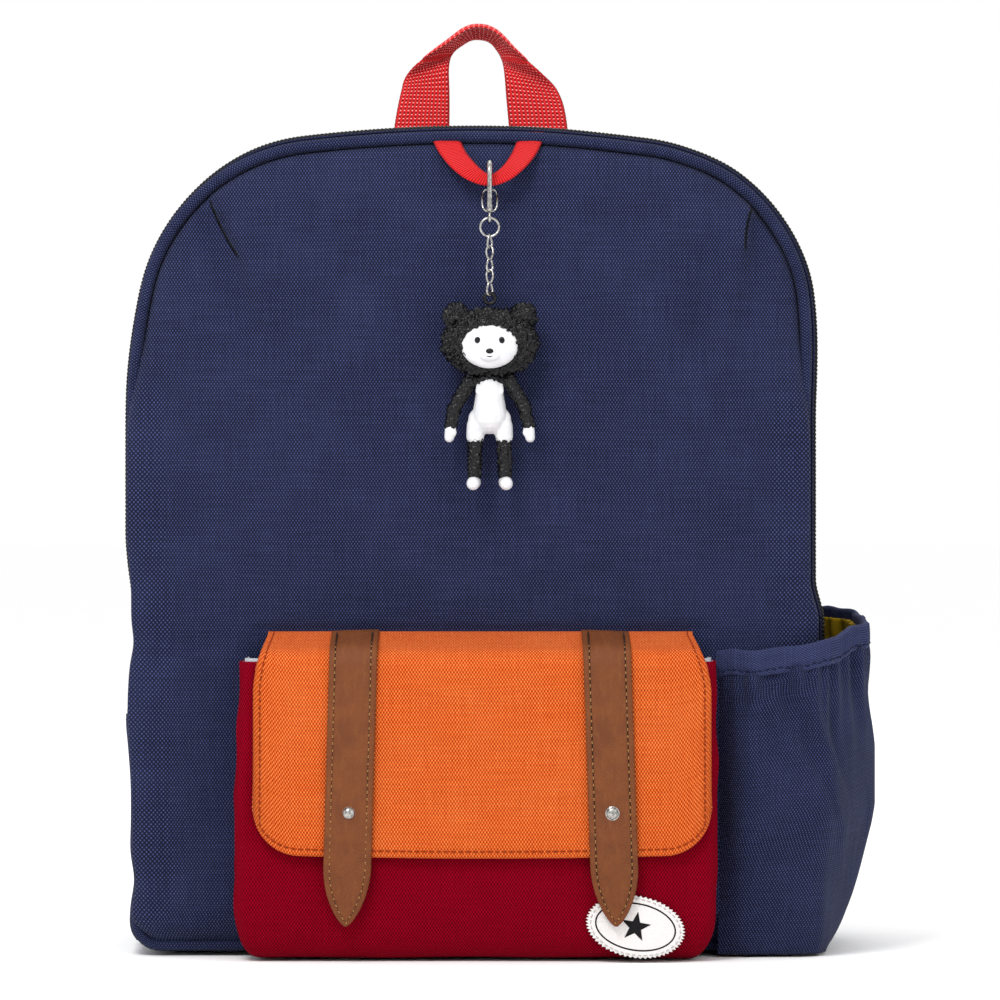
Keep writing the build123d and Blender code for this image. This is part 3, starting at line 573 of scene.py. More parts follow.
def outline(step, start=None):
    """Points (x, z) and outward normals of the body's outline, from the base's middle, or from start on the right
    side, up and over to the left. Without a start it is a closed loop."""
    rows = []

    def arc(cx, cz, r, a, b):
        for t in np.linspace(a, b, max(2, round(abs(b - a) * r / step)), endpoint=False):
            rows.append((cx + r * math.cos(t), cz + r * math.sin(t), math.cos(t), math.sin(t)))

    def line(x0, z0, x1, z1, nx, nz):
        count = max(2, round(math.hypot(x1 - x0, z1 - z0) / step))
        for t in np.linspace(0, 1, count, endpoint=False):
            rows.append((x0 + (x1 - x0) * t, z0 + (z1 - z0) * t, nx, nz))

    if start is None:
        line(0, 0, HALF_WIDTH - BASE_R, 0, 0, -1)
        arc(HALF_WIDTH - BASE_R, BASE_R, BASE_R, -math.pi / 2, 0)
    line(HALF_WIDTH, BASE_R if start is None else start, HALF_WIDTH, SIDE_Z, 1, 0)
    arc(HALF_WIDTH - SIDE_R, SIDE_Z, SIDE_R, 0, SIDE_TURN)
    arc(SHOULDER_X, SHOULDER_Z, SHOULDER_R, SIDE_TURN, math.pi / 2 - CROWN_TURN)
    arc(0, CROWN_Z, CROWN_R, math.pi / 2 - CROWN_TURN, math.pi / 2)
    right = np.array(rows)
    left = right[::-1] * [-1, 1, -1, 1]
    if start is None:
        left = left[:-1]
    whole = np.concatenate([right, [[0, CROWN_Z + CROWN_R, 0, 1]], left])
    points, outward = whole[:, :2], whole[:, 2:]
    return points + outward * slack(points[:, 0], points[:, 1])[:, None], outward


def swept(points, outward, section):
    """A grid: each outline point carries the section, given as (outward, y) pairs."""
    section = np.asarray(section, float)
    grid = np.zeros((len(points), len(section), 3))
    grid[:, :, 0] = points[:, :1] + outward[:, :1] * section[:, 0]
    grid[:, :, 2] = points[:, 1:] + outward[:, 1:] * section[:, 0]
    grid[:, :, 1] = section[:, 1]
    return grid


def loop_tube(name, points, outward, inset, y, radius, material, closed, sides=12, squeeze=1.0):
    """A round cord along the outline, such as piping."""
    turn = around(sides)
    radius = np.broadcast_to(radius, len(points))[:, None]
    grid = swept(points, outward, np.zeros((sides, 2)))
    a, b = -inset + radius * np.cos(turn), y + radius * squeeze * np.sin(turn)
    pushed(grid, outward, a)
    grid[:, :, 1] = b
    along = travel(points)
    flat = np.stack(np.meshgrid(along, np.arange(sides) * 2 * math.pi * radius.mean() / sides, indexing="ij"), 2)
    faces = [f[::-1] for f in quads(len(points), sides, closed, True)]
    if not closed:
        faces += [list(range(sides)), [len(points) * sides - 1 - k for k in range(sides)]]
    return piece(name, grid, faces, [material], flat)


# ---------------- the body
def edge_depth(x, z):
    """How far in from the body's outline each point is, mm."""
    points, _ = outline(0.5)
    tree = kdtree.KDTree(len(points))
    for k, (px, pz) in enumerate(points):
        tree.insert((px, pz, 0), k)
    tree.balance()
    flat = np.stack([np.ravel(x), np.ravel(z)], 1)
    found = np.array([tree.find((a, b, 0))[2] for a, b in flat])
    return found.reshape(np.shape(x))


EDGE_STEPS = np.array([0, 0.4, 0.8, 1.2, 1.6, 2.0, 2.5, 3.1, 3.9, 5.0, 6.4])


def crowded(length, pitch, both=True):
    """Places from 0 to 1 along a length, about pitch apart but closer near its end, or near both its ends."""
    low = EDGE_STEPS[-1] if both else 0.0
    even = np.linspace(low, length - EDGE_STEPS[-1], round((length - low - EDGE_STEPS[-1]) / pitch) + 1)
    near = EDGE_STEPS[:-1] if both else EDGE_STEPS[:0]
    return np.concatenate([near, even, (length - EDGE_STEPS[:-1])[::-1]]) / length


def fitted(points, start, end, share):
    """Points at the given shares of the part of a line between two of its indexes."""
    line = points[start:end + 1] if end >= start else points[end:start + 1][::-1]
    along = travel(line)
    return placed(share * along[-1], along, line)


SPLIT_Z = 165.0


def skin_plan(inset, pitch=1.75):
    """The front's grid in (x, z), bottom row first: level rows up to SPLIT_Z, then rows that bend into the crown."""
    points, outward = outline(0.5)
    line = points - outward * inset
    count = len(line)
    top = int(np.argmax(line[:, 1]))
    low_rows = np.concatenate([inset + EDGE_STEPS, np.arange(inset + 8, FOLD_Z - 4, pitch * 1.1),
                               np.arange(FOLD_Z - 4, FOLD_Z + 4, 0.6), np.arange(FOLD_Z + 4, SPLIT_Z, pitch * 1.1)])
    right, left = line[:top], line[top:][::-1]
    across = crowded(2 * HALF_WIDTH, pitch)
    rows = []
    for z in low_rows:
        keep_r, keep_l = right[right[:, 0] > 100], left[left[:, 0] < -100]
        xr = np.interp(z, keep_r[:, 1], keep_r[:, 0])
        xl = np.interp(z, keep_l[:, 1], keep_l[:, 0])
        rows.append(np.stack([xl + (xr - xl) * across, np.full(len(across), z)], 1))
    turn = np.arctan2(right[:, 1] - SHOULDER_Z, right[:, 0] - SHOULDER_X)
    corner = int(np.argmin(np.abs(turn - math.pi / 4) + 9 * (right[:, 1] < SHOULDER_Z)))
    start = int(np.argmin(np.abs(right[:, 1] - SPLIT_Z) + 999 * (right[:, 0] < 100)))
    up = crowded(190.0, pitch * 1.1, both=False)
    side_r = fitted(line, start, corner, up)
    side_l = fitted(line, count - start, count - corner, up)
    side_r[0, 1] = side_l[0, 1] = SPLIT_Z
    crown = fitted(line, corner, count - corner, across)[::-1]
    crown[0], crown[-1] = side_l[-1], side_r[-1]
    base = np.stack([side_l[0, 0] + (side_r[0, 0] - side_l[0, 0]) * across, np.full(len(across), SPLIT_Z)], 1)
    u = across[:, None]
    for v, at_l, at_r in zip(up, side_l, side_r):
        corners = (1 - u) * ((1 - v) * base[0] + v * crown[0]) + u * ((1 - v) * base[-1] + v * crown[-1])
        rows.append((1 - v) * base + v * crown + (1 - u) * at_l + u * at_r - corners)
    return np.array(rows)


def beside(x, z, start, end):
    """How far each point is along and to the side of the line from start to end, and the line's length."""
    start, end = np.array(start), np.array(end)
    along = end - start
    size = np.linalg.norm(along)
    along = along / size
    s = (x - start[0]) * along[0] + (z - start[1]) * along[1]
    d = (x - start[0]) * -along[1] + (z - start[1]) * along[0]
    return s, d, size


def tuck(x, z, start, end, depth, width):
    """A dart: a sewn line where the cloth on one side steps over the other, fading out past its end."""
    s, d, size = beside(x, z, start, end)
    fade = ease(s, -6, 4) * (1 - ease(s, size * 0.75, size * 1.5))
    return fade * depth * (np.tanh(d / width) * np.exp(-np.abs(d) / 9) - 0.9 * np.exp(-((d / width) ** 2)))


def fold(x, z, start, end, height, width):
    """A soft ridge, or with a height below 0 a soft hollow, from start to end."""
    s, d, size = beside(x, z, start, end)
    return height * np.exp(-((d / width) ** 2)) * ease(s, -width, width) * (1 - ease(s, size - width, size + width))


# The front's soft ridges and hollows: start and end in (x, z), height, and half-width.
FOLDS = [((-100, 306), (-84, 262), 2.4, 5.5), ((-112, 309), (-97, 272), -3.2, 6.0),
         ((-126, 290), (-112, 250), 1.4, 9.0), ((112.0, 300), (99, 241), 2.0, 5.0),
         ((103, 304), (92, 250), -1.8, 6.5), ((121, 306), (112, 262), -2.2, 6.0),
         ((-146, 125.5), (-99, 132.5), -1.1, 5.0), ((-146, 118), (-104, 122), 0.8, 7.0),
         ((-140, 96), (-112, 60), 0.7, 9.0), ((-141, 60), (-106, 24), -0.8, 8.0),
         ((122, 268), (128, 160), 0.7, 12.0), ((104, 132), (140, 138), -0.7, 5.0)]


# Low on the sides the full cloth rolls out over the piping: how far in each place of the cloth then lies, and how
# far forward of the seam, by its distance from the seam.
ROLL_AT = [0, 0.4, 0.8, 1.2, 2.0, 3.1, 5.0, 8.0, 14.0]
ROLL_INSET = [4.8, 3.6, 2.5, 2.0, 2.4, 4.0, 6.6, 11.0, 18.8]
ROLL_OUT = [0, 3.6, 4.9, 5.6, 7.2, 8.4, 9.6, 10.4, 11.0]
# How far the filled front stands forward of its seam.
FRONT_SWELL = 11.0


def blend_front(obj, *nodes):
    """A piece of the front that crosses the fold line: its transform is baked in and it is left on no body."""
    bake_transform(obj)
    belongs(obj, None, "navy_canvas", *nodes)


def front_skin():
    x, z = np.moveaxis(skin_plan(PIPING_INSET + 0.4), 2, 0)
    depth = edge_depth(x, z)
    slope = 27 + 38 * ease(z, 215, 325)
    rise = 1 - (1 - np.clip(depth / slope, 0, 1)) ** 2.5
    out = FRONT_SWELL * rise + 1.6 * ease(depth, 30, 110) * bell(z, 205, 90)
    out += 2.6 * ease(z, 215, 325) * ease(depth, 3, 9) * (1 - ease(depth, 12, 60))
    out -= 5.5 * bell(depth, PIPING_INSET + 1.2, 2.4) * ease(z, 2, 12)
    free = ease(depth, 4, 22)
    out += free * (0.45 * ripple(x, z, 3, 60) + 0.16 * ripple(x, z, 8, 21))
    for start, end, height in DARTS:
        out += tuck(x, z, start, end, height, 1.3)
    for start, end, height, width in FOLDS:
        out += fold(x, z, start, end, height, width)
    out -= 0.8 * bell(z, 136.5, 2.2) * ease(x, -96, -88) * ease(-x, -106, -98)
    behind_pocket = (1 - ease(z, 128, 138)) * ease(x, -104, -92) * ease(-x, -112, -98)
    out = out * (1 - behind_pocket) + np.minimum(out, FRONT_SWELL) * behind_pocket
    roll = ease(np.abs(x), 100, 130) * (1 - ease(z, 212, 264)) * ease(z, 5, 18)
    from_seam = depth - PIPING_INSET - 0.4
    over = x + np.sign(x) * roll * (depth - np.interp(from_seam, ROLL_AT, ROLL_INSET)) * (from_seam < ROLL_AT[-1])
    near = roll * (1 - ease(from_seam, 7, 14))
    out = out * (1 - near) + np.interp(from_seam, ROLL_AT, ROLL_OUT) * near
    grid = np.stack([over, FRONT_SEAM_Y - out, z], 2)
    obj = cloth("front_skin", grid, NAVY_FRONT, LINING, flat=np.stack([x, z], 2))
    blend_front(obj, "front_panel_lower", "front_panel_upper")


def pipings():
    points, outward = outline(2.0)
    obj = loop_tube("front_piping", points, outward, PIPING_INSET, -64.0, PIPING_R, NAVY, True)
    blend_front(obj, "front_piping_lower", "front_piping_upper")
    obj = loop_tube("back_piping_cord", points, outward, 1.9, 64.0, BACK_PIPING_R, NAVY, True)
    belongs(obj, "root", "navy_canvas", "back_piping")


def left_tuck(points):
    """How much deeper the zip lies on the left, where the cloth in front of it covers it."""
    return ease(-points[:, :1], 84, 135) * (1.6 + 1.6 * (1 - ease(points[:, 1:], 134, 165)))


def coil(name, points, outward, inset, y, body, node, phase=0.0):
    """One half of the zip: a nylon coil's turns side by side, as a cord that swells at each turn."""
    along = travel(points)
    swell = np.abs(np.sin(math.pi * (along / 1.7 + phase))) ** 0.7
    inset = inset + left_tuck(points)
    obj = loop_tube(name, points, outward, inset, y, 0.75 + 0.42 * swell, NYLON, False, sides=8, squeeze=0.9)
    belongs(obj, body, "zip_nylon", node)


def tape(name, points, outward, inset, y0, y1, body, node):
    """A zip tape: a woven strip between the coil and the seam that holds it."""
    section = [(-inset - 0.15 * math.sin(k * 1.3), y0 + (y1 - y0) * k / 6) for k in range(7)]
    grid = swept(points, outward, section)
    deeper = left_tuck(points) * (np.linspace(1, 0, 7) if y0 > ZIP_Y else np.ones(7))
    pushed(grid, outward, -deeper)
    flat = grid_map(grid)[:, :, ::-1]
    obj = cloth(name, grid if y1 > y0 else grid[:, ::-1], TAPE, thick=0.7, flat=flat)
    belongs(obj, body, "zip_nylon", *node)


def arc_parts(step):
    """The zip's line as (whole, upper, right lower, left lower), each as points and outward normals."""
    points, outward = outline(step, ZIP_END_Z)
    up = points[:, 1] >= FOLD_Z
    middle = len(points) // 2
    right = (points[:, 1] <= FOLD_Z - 0.2) & (np.arange(len(points)) < middle)
    left = (points[:, 1] <= FOLD_Z - 0.2) & (np.arange(len(points)) > middle)
    return [(points[m], outward[m]) for m in (np.ones(len(points), bool), up, right, left)]


def zips():
    whole, upper, right, left = arc_parts(0.42)
    coil("zip_coil_rear_half", *whole, -0.2, ZIP_Y + 1.0, "root", "zip_coil_rear", 0.5)
    coil("zip_coil_front_half", *upper, 1.0, ZIP_Y - 1.0, "front_panel", "zip_coil_front")
    coil("zip_coil_lower_right", *right, 1.0, ZIP_Y - 1.0, "root", "zip_half_front_lower")
    coil("zip_coil_lower_left", *left, 1.0, ZIP_Y - 1.0, "root", "zip_half_front_lower")
    whole, upper, right, left = arc_parts(0.5)
    rear, front = (ZIP_Y + 1.6, -42.0), (-62.4, ZIP_Y - 1.6)
    tape("zip_tape_rear_strip", *whole, 0.7, *rear, "root", ["zip_tape_rear"])
    tape("zip_tape_front_strip", *upper, 0.7, *front, "front_panel", ["zip_tape_front"])
    tape("zip_tape_lower_right", *right, 0.7, *front, "root", ["zip_half_front_lower"])
    tape("zip_tape_lower_left", *left, 0.7, *front, "root", ["zip_half_front_lower"])


def gusset_section(y0, y1, count, puff):
    """A panel's section as (outward, y): it puffs out between its seams and dips at them."""
    t = np.linspace(0, 1, count)
    return np.stack([puff * np.sin(math.pi * t) ** 0.7 - 0.7 * (bell(t, 0, 0.025) + bell(t, 1, 0.025)),
                     y0 + (y1 - y0) * t], 1)


def gusset_panel(name, points, outward, y0, y1, puff, seed, node, creased=True):
    """A panel of the sides, top or base: it puffs out a little between its seams and has soft creases."""
    count = max(12, round((y1 - y0) / 3.0))
    grid = swept(points, outward, gusset_section(y0, y1, count, puff))
    along = travel(points)
    s, y = np.meshgrid(along, grid[0, :, 1], indexing="ij")
    t = (y - y0) / (y1 - y0)
    free = np.sin(math.pi * np.clip(t, 0, 1)) ** 0.6 * ease(s, 0, 8) * ease(along[-1] - s, 0, 8)
    push = free * (0.9 * ripple(s * 0.6, y, seed, 38) + 0.35 * ripple(s, y * 0.5, seed + 1, 17))
    if creased:
        pushed(grid, outward, push)
    flat = np.stack([y, s], 2)
    obj = cloth(name, grid, NAVY, LINING, flat=flat)
    belongs(obj, "root", "navy_canvas", node)


def gussets():
    points, outward = outline(3.0, ZIP_END_Z)
    gusset_panel("gusset_top_panel", points - outward * 0.6, outward, -42.4, 62.2, 1.6, 11, "gusset_top")
    points, outward = outline(2.4)
    side = (points[:, 1] <= ZIP_END_Z + 2.6) & (points[:, 1] > 5)
    for name, here, seed in (("right", points[:, 0] > 0, 21), ("left", points[:, 0] < 0, 22)):
        order = np.where(side & here)[0]
        gusset_panel(f"side_panel_{name}", points[order] - outward[order] * 0.9, outward[order], -PANEL_Y,
                     PANEL_Y, 1.4, seed, "side_panels")
    order = np.where(points[:, 1] < 6)[0]
    order = order[np.argsort(points[order, 0])]
    gusset_panel("base_cloth", points[order] - outward[order] * 0.9, outward[order], -PANEL_Y, PANEL_Y, 0.0, 23,
                 "base_panel", creased=False)
    for side, sign in (("right", 1), ("left", -1)):
        line = np.array([[sign * (HALF_WIDTH + 0.35), y, ZIP_END_Z - 1.6] for y in np.linspace(-60, 60, 60)])
        stitches(f"side_seam_stitches_{side}", line, (sign, 0, 0), NAVY_THREAD, "root")


# The back's quilting: its upright seams at plus and minus QUILT_X, and its level ones.
QUILT_X, QUILT_LOW, QUILT_HIGH = 46, 98, 292


def back_panel():
    """The padded back, quilted into three channels and a lumbar pad with a border, and the foam and lining in it."""
    x, z = np.moveaxis(skin_plan(0.8, pitch=2.4), 2, 0)
    depth = edge_depth(x, z)
    rise = 1 - (1 - np.clip(depth / 14, 0, 1)) ** 2.2
    pad = ease(depth, 16, 30)
    seams = np.maximum(bell(x, -QUILT_X, 3.2), bell(x, QUILT_X, 3.2)) * ease(z, 96, 104)
    level = np.maximum(bell(z, QUILT_LOW, 3.2), bell(z, QUILT_HIGH, 3.2))
    border = bell(depth, 16, 2.6)
    quilt = np.maximum.reduce([seams * pad * (1 - ease(z, QUILT_HIGH, 296)), level * pad, border])
    lumbar = 1 - ease(z, 262, 288)
    puff = pad * (2.0 + 2.6 * lumbar) * (1 - quilt) + 0.3 * ripple(x, z, 31, 40) * pad
    out = 5.2 * rise + puff - 1.4 * quilt
    flats = ease(z, 286, 298) * (1 - ease(np.abs(x), 66, 80)) + (1 - ease(z, 34, 42)) * bell(np.abs(x), 122, 16)
    flats = np.clip(flats, 0, 1)
    out = np.minimum(out * (1 - flats) + 5.6 * flats, 10.2)
    grid = np.stack([x, 62.8 + out, z], 2)[:, ::-1]
    flat = np.stack([x, z], 2)[:, ::-1]
    obj = cloth("back_panel_padded", grid, NAVY, flat=flat, thick=1.2)
    belongs(obj, "root", "navy_canvas", "back_panel")
    x, z = np.moveaxis(skin_plan(9.0, pitch=7.0), 2, 0)
    grid = np.stack([x, 64.6 + 0.3 * ripple(x, z, 33, 60), z], 2)[:, ::-1]
    obj = cloth("back_foam_sheet", grid, FOAM, thick=1.8, flat=np.stack([x, z], 2))
    belongs(obj, "root", "foam", "back_foam")
    x, z = np.moveaxis(skin_plan(2.4, pitch=5.0), 2, 0)
    grid = np.stack([x, 61.6 + 0.5 * ripple(x, z, 34, 50), z], 2)
    obj = cloth("back_lining_cloth", grid, LINING, thick=0.7, flat=np.stack([x, z], 2))
    belongs(obj, "root", "grey_lining", "back_lining")


# ---------------- the front pocket and its flap
POCKET_TOP, POCKET_FACE_Y = 123.8, -99.0
FLAP_TOP, FLAP_KNEE, FLAP_END, FLAP_Y = 136.5, 126.6, 44.4, -100.2
FLAP_LEFT, FLAP_RIGHT, FLAP_CORNER = -91.6, 97.9, 19.0


def pocket_half_widths(z):
    """The pocket's left and right edges at a height: it bows outward low down and its bottom corners are round."""
    corner = np.where(z < 22, 11 - 11 * np.sqrt(np.clip(1 - ((22 - z) / 22) ** 2, 0, 1)), 0)
    left = -97.0 - 2.1 * ease(-z, -122, -70) + corner
    right = 99.5 + 0.7 * bell(z, 60, 50) - corner
    return left, right


def pocket_grid(shrink, columns, top):
    """The pocket's shell as level U sections from the top edge down, then under the bottom to the bag."""
    heights = list(np.linspace(top, 18, 44)) + [15.5, 13, 10.6, 8.4, 6.4, 4.7, 3.2, 2.0, 1.1, 0.6, 0.5, 0.5, 0.5]
    fronts = [0.0] * 44 + [0.15, 0.4, 0.8, 1.4, 2.1, 3.1, 4.4, 6.0, 8.2, 11, 15, 20, 25.5]
    rows = []
    for z, back in zip(heights, fronts):
        left, right = pocket_half_widths(z)
        left, right = left + shrink, right - shrink
        face = POCKET_FACE_Y + shrink + back
        rest = FRONT_Y + 1.0
        face = min(face, rest - 0.2)
        r = min(9.0, (rest - face) * 0.8)
        line = rounded([(left, rest), (left - 0.6, face + r * 0.5), (left + 2.5, face), (right - 2.5, face),
                        (right + 0.6, face + r * 0.5), (right, rest)], 9, 0.8)
        rows.append(np.column_stack([even(line, columns), np.full(columns, z + shrink * (z < 3))]))
    return np.array(rows)


def soften_pocket(grid):
    """The filled pocket's shape: the face swells a little, and the cloth gathers towards the bottom corners."""
    x, y, z = np.moveaxis(grid, 2, 0)
    on_face = ease(-y, 90, 97)
    u = (x - 1.5) / 100
    swell = 1.6 * (1 - np.clip(u * u, 0, 1)) * ease(z, 6, 40) * (1 - ease(z, 96, 122)) - 1.4
    y = y - on_face * (np.minimum(swell, 0.0) + 0.28 * ripple(x, z, 41, 34) + 0.12 * ripple(x, z, 42, 12))
    side = (1 - on_face) * ease(-y, 74, 80)
    x = x + side * 0.8 * ripple(y, z, 43, 24)
    sag = 0.5 * ripple(x, 0 * z, 44, 60) * (1 - ease(z, 2, 30))
    return np.stack([x, y, np.maximum(z + np.minimum(sag, 0.6) + 0.3, 0.4)], 2)[:, ::-1]


def front_pocket():
    grid = soften_pocket(pocket_grid(0.0, 221, POCKET_TOP))
    obj = cloth("front_pocket_shell", grid, RED, LINING, thick=1.3)
    belongs(obj, "root", "red_canvas", "front_pocket")
    grid = soften_pocket(pocket_grid(2.1, 121, POCKET_TOP + 1.3))
    obj = cloth("front_pocket_lining_cloth", grid, LINING, thick=0.6)
    belongs(obj, "root", "grey_lining", "front_pocket_lining")


def flap_path(offset):
    """The flap's line in (y, z) from the seam over the knee and down, moved outward by offset, finely spaced."""
    line = rounded([(-71.6, 134.6), (-74.6, 134.7), (FLAP_Y, FLAP_KNEE), (FLAP_Y, 8)], 7.5, 0.5)
    tangent = heading(line)
    return line + np.stack([tangent[:, 1], -tangent[:, 0]], 1) * offset


def flap_end(x):
    """The flap's lower edge: round corners and a slight sag between the straps."""
    r = FLAP_CORNER
    x = np.clip(x, FLAP_LEFT, FLAP_RIGHT)
    corner = np.maximum(0, np.maximum(FLAP_LEFT + r - x, x - (FLAP_RIGHT - r)))
    round_up = r - np.sqrt(np.maximum(r * r - corner * corner, 0))
    return FLAP_END - 1.4 + 2.0 * np.abs((x - 4) / 96) ** 2 * 0.8 + round_up


def flap_grid(offset, shrink):
    rows = 76
    left, right, r = FLAP_LEFT + shrink, FLAP_RIGHT - shrink, FLAP_CORNER
    near = r * (1 - np.cos(np.linspace(0, math.pi / 2, 14)))
    x = np.concatenate([left + near, np.linspace(left + r, right - r, 110)[1:-1], (right - near)[::-1]])
    line = flap_path(offset)
    along = travel(line)
    grid = np.zeros((rows, len(x), 3))
    for k, at in enumerate(x):
        end = np.interp(-(flap_end(at) + shrink), -line[:, 1], along)
        s = np.linspace(0, end, rows)
        grid[:, k] = np.column_stack([np.full(rows, at), placed(s, along, line)])
    narrow = np.clip((grid[:, :, 2] - 112) / 22.7, 0, 1) ** 1.6
    u = (grid[:, :, 0] - 3) / 95
    grid[:, :, 0] -= narrow * np.where(u > 0, 7.0, -5.3) * np.abs(u) ** 3
    return shaped_flap(grid)


def shaped_flap(grid):
    """The soft cloth: its sides bend back towards the pocket, its face ripples, and its lower edge kicks out."""
    x, y, z = np.moveaxis(grid, 2, 0)
    hanging = 1 - ease(z, 112, 130)
    u = np.abs((x - 3) / 95)
    back = 1.5 * ease(u, 0.8, 1.0) * hanging * ease(z, 60, 90)
    wavy = hanging * (0.32 * ripple(x, z, 51, 44) - 0.32) + 0.12 * hanging * ripple(x, z, 52, 15)
    kick = -0.9 * bell(z, 44, 14) * bell(x, 4, 34)
    return np.stack([x, y + back + wavy + kick, z], 2)[:, ::-1]


def blend_flap(obj, slot, *nodes):
    """A piece of the flap, whose hinge is just past its seam: its transform is baked in and it is left on no body."""
    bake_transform(obj)
    belongs(obj, None, slot, *nodes)


def flap():
    grid = flap_grid(1.4, 0.0)
    obj = cloth("flap_cloth", grid, ORANGE, thick=1.2)
    blend_flap(obj, "orange_canvas", "pocket_flap")
    inner = flap_grid(0.1, 0.5)
    obj = cloth("flap_lining_cloth", inner, LINING, thick=0.5)
    blend_flap(obj, "grey_lining", "flap_lining")
    inset = flap_grid(1.5, 2.8)
    edge = np.concatenate([inset[2:, 0], inset[-1, 1:-1], inset[:1:-1, -1]])
    sewn = stitches("flap_stitches", spaced(edge, 1.0), (0, -1, 0), ORANGE_THREAD, pitch=3.0)
    blend_flap(sewn, "orange_canvas")


# ---------------- the leather straps
STRAP_HALF, STRAP_TIP_Z, STRAP_TIP = 9.9, 15.0, 25.0
# The strap's section: place across as a share of its half-width, and height in mm, with grooves for the stitches.
STRAP_HALF_RING = [(0.4, 1.76), (0.68, 1.7), (0.74, 1.52), (0.8, 1.7), (0.955, 1.55), (1, 1.0), (1, 0.1), (0.9, 0)]
STRAP_RING = [*[(-wide, high) for wide, high in STRAP_HALF_RING[-2::-1]], (0, 1.78), *STRAP_HALF_RING, (0, 0),
              (-0.9, 0)]


def strap_shape(t):
    """Half the strap's width at a distance from its tip, mm: straight sides that curve in to a blunt point."""
    return STRAP_HALF * np.clip(1 - (1 - np.clip(t / STRAP_TIP, 0, 1)) ** 1.9, 0, 1) ** 0.72


def strap_line(x0, lean):
    """The strap's centre line from the seam, over the flap and down past the flap's end."""
    line = flap_path(2.5)
    line = line[(line[:, 1] > STRAP_TIP_Z) & (line[:, 0] < -75.2)]
    drop = FLAP_TOP - line[:, 1]
    points = np.column_stack([x0 - drop * math.tan(lean), line[:, 0], line[:, 1]])
    below = 1 - ease(points[:, 2], 26, 46)
    points[:, 1] += 0.4 * below
    return spaced(points, 1.0)


def leather_strap(side, x0, lean):
    line = strap_line(x0, lean)
    to_tip = np.linalg.norm(np.diff(line, axis=0), axis=1)
    to_tip = np.append(np.cumsum(to_tip[::-1])[::-1], 0)
    half = strap_shape(to_tip + 0.25)
    tangent = heading(line)
    across = np.array([math.cos(lean), 0, math.sin(lean)])
    out = unit(np.cross(tangent, across))
    out *= np.sign(-out[:, 1:2] + 1e-9)
    wide, high = np.array(STRAP_RING).T
    from_seam = travel(line)
    raised = np.outer(0.35 + 0.65 * ease(from_seam, 0, 7), high * 0.97) - (1 - ease(from_seam, 6, 30))[:, None]
    grid = line[:, None] + across * (half[:, None] * wide)[:, :, None] + out[:, None] * raised[:, :, None]
    bend = 0.25 * ripple(line[:, 0], line[:, 2], 61 + (x0 > 0), 30)
    grid = grid + out[:, None] * np.maximum(bend, 0)[:, None, None]
    flat = np.stack([half[:, None] * wide, np.repeat(line[:, 2:], len(wide), 1)], 2)
    faces = capped(len(line), len(wide))
    obj = piece(f"leather_strap_{side}_skin", grid, faces, [BROWN], flat)
    blend_flap(obj, "brown_leather", f"leather_strap_{side}")
    sew = np.maximum(half - 2.5, 0)
    usable = (half > 3.0) & (line[:, 2] < FLAP_TOP - 2)
    left = line - across * sew[:, None] + out * 1.5
    right = line + across * sew[:, None] + out * 1.5
    tip = (line[usable][-1] + out[usable][-1] * 1.5)[None] - [[0, 0, 2.0]]
    path = spaced(np.concatenate([left[usable], tip, right[usable][::-1]]), 1.0)
    # The dark row is painted shade: it lies under the pale one and shows between its stitches as the shade in the
    # groove and holes that they sit in.
    for kind, thread, share, radius, lift in (("stitches", TAN_THREAD, 0.55, 0.28, 0.12),
                                              ("groove_shade", STITCH_GROOVE_SHADE, 1.0, 0.36, -0.12)):
        blend_flap(stitches(f"strap_{kind}_{side}", path, (0, -1, 0), thread, pitch=2.9, share=share, radius=radius,
                            lift=lift), "brown_leather")


def leather_straps():
    leather_strap("left", -49.8, math.radians(1.6))
    leather_strap("right", 54.4, math.radians(-1.9))


# ---------------- the badge
OVAL_POINTS = 120


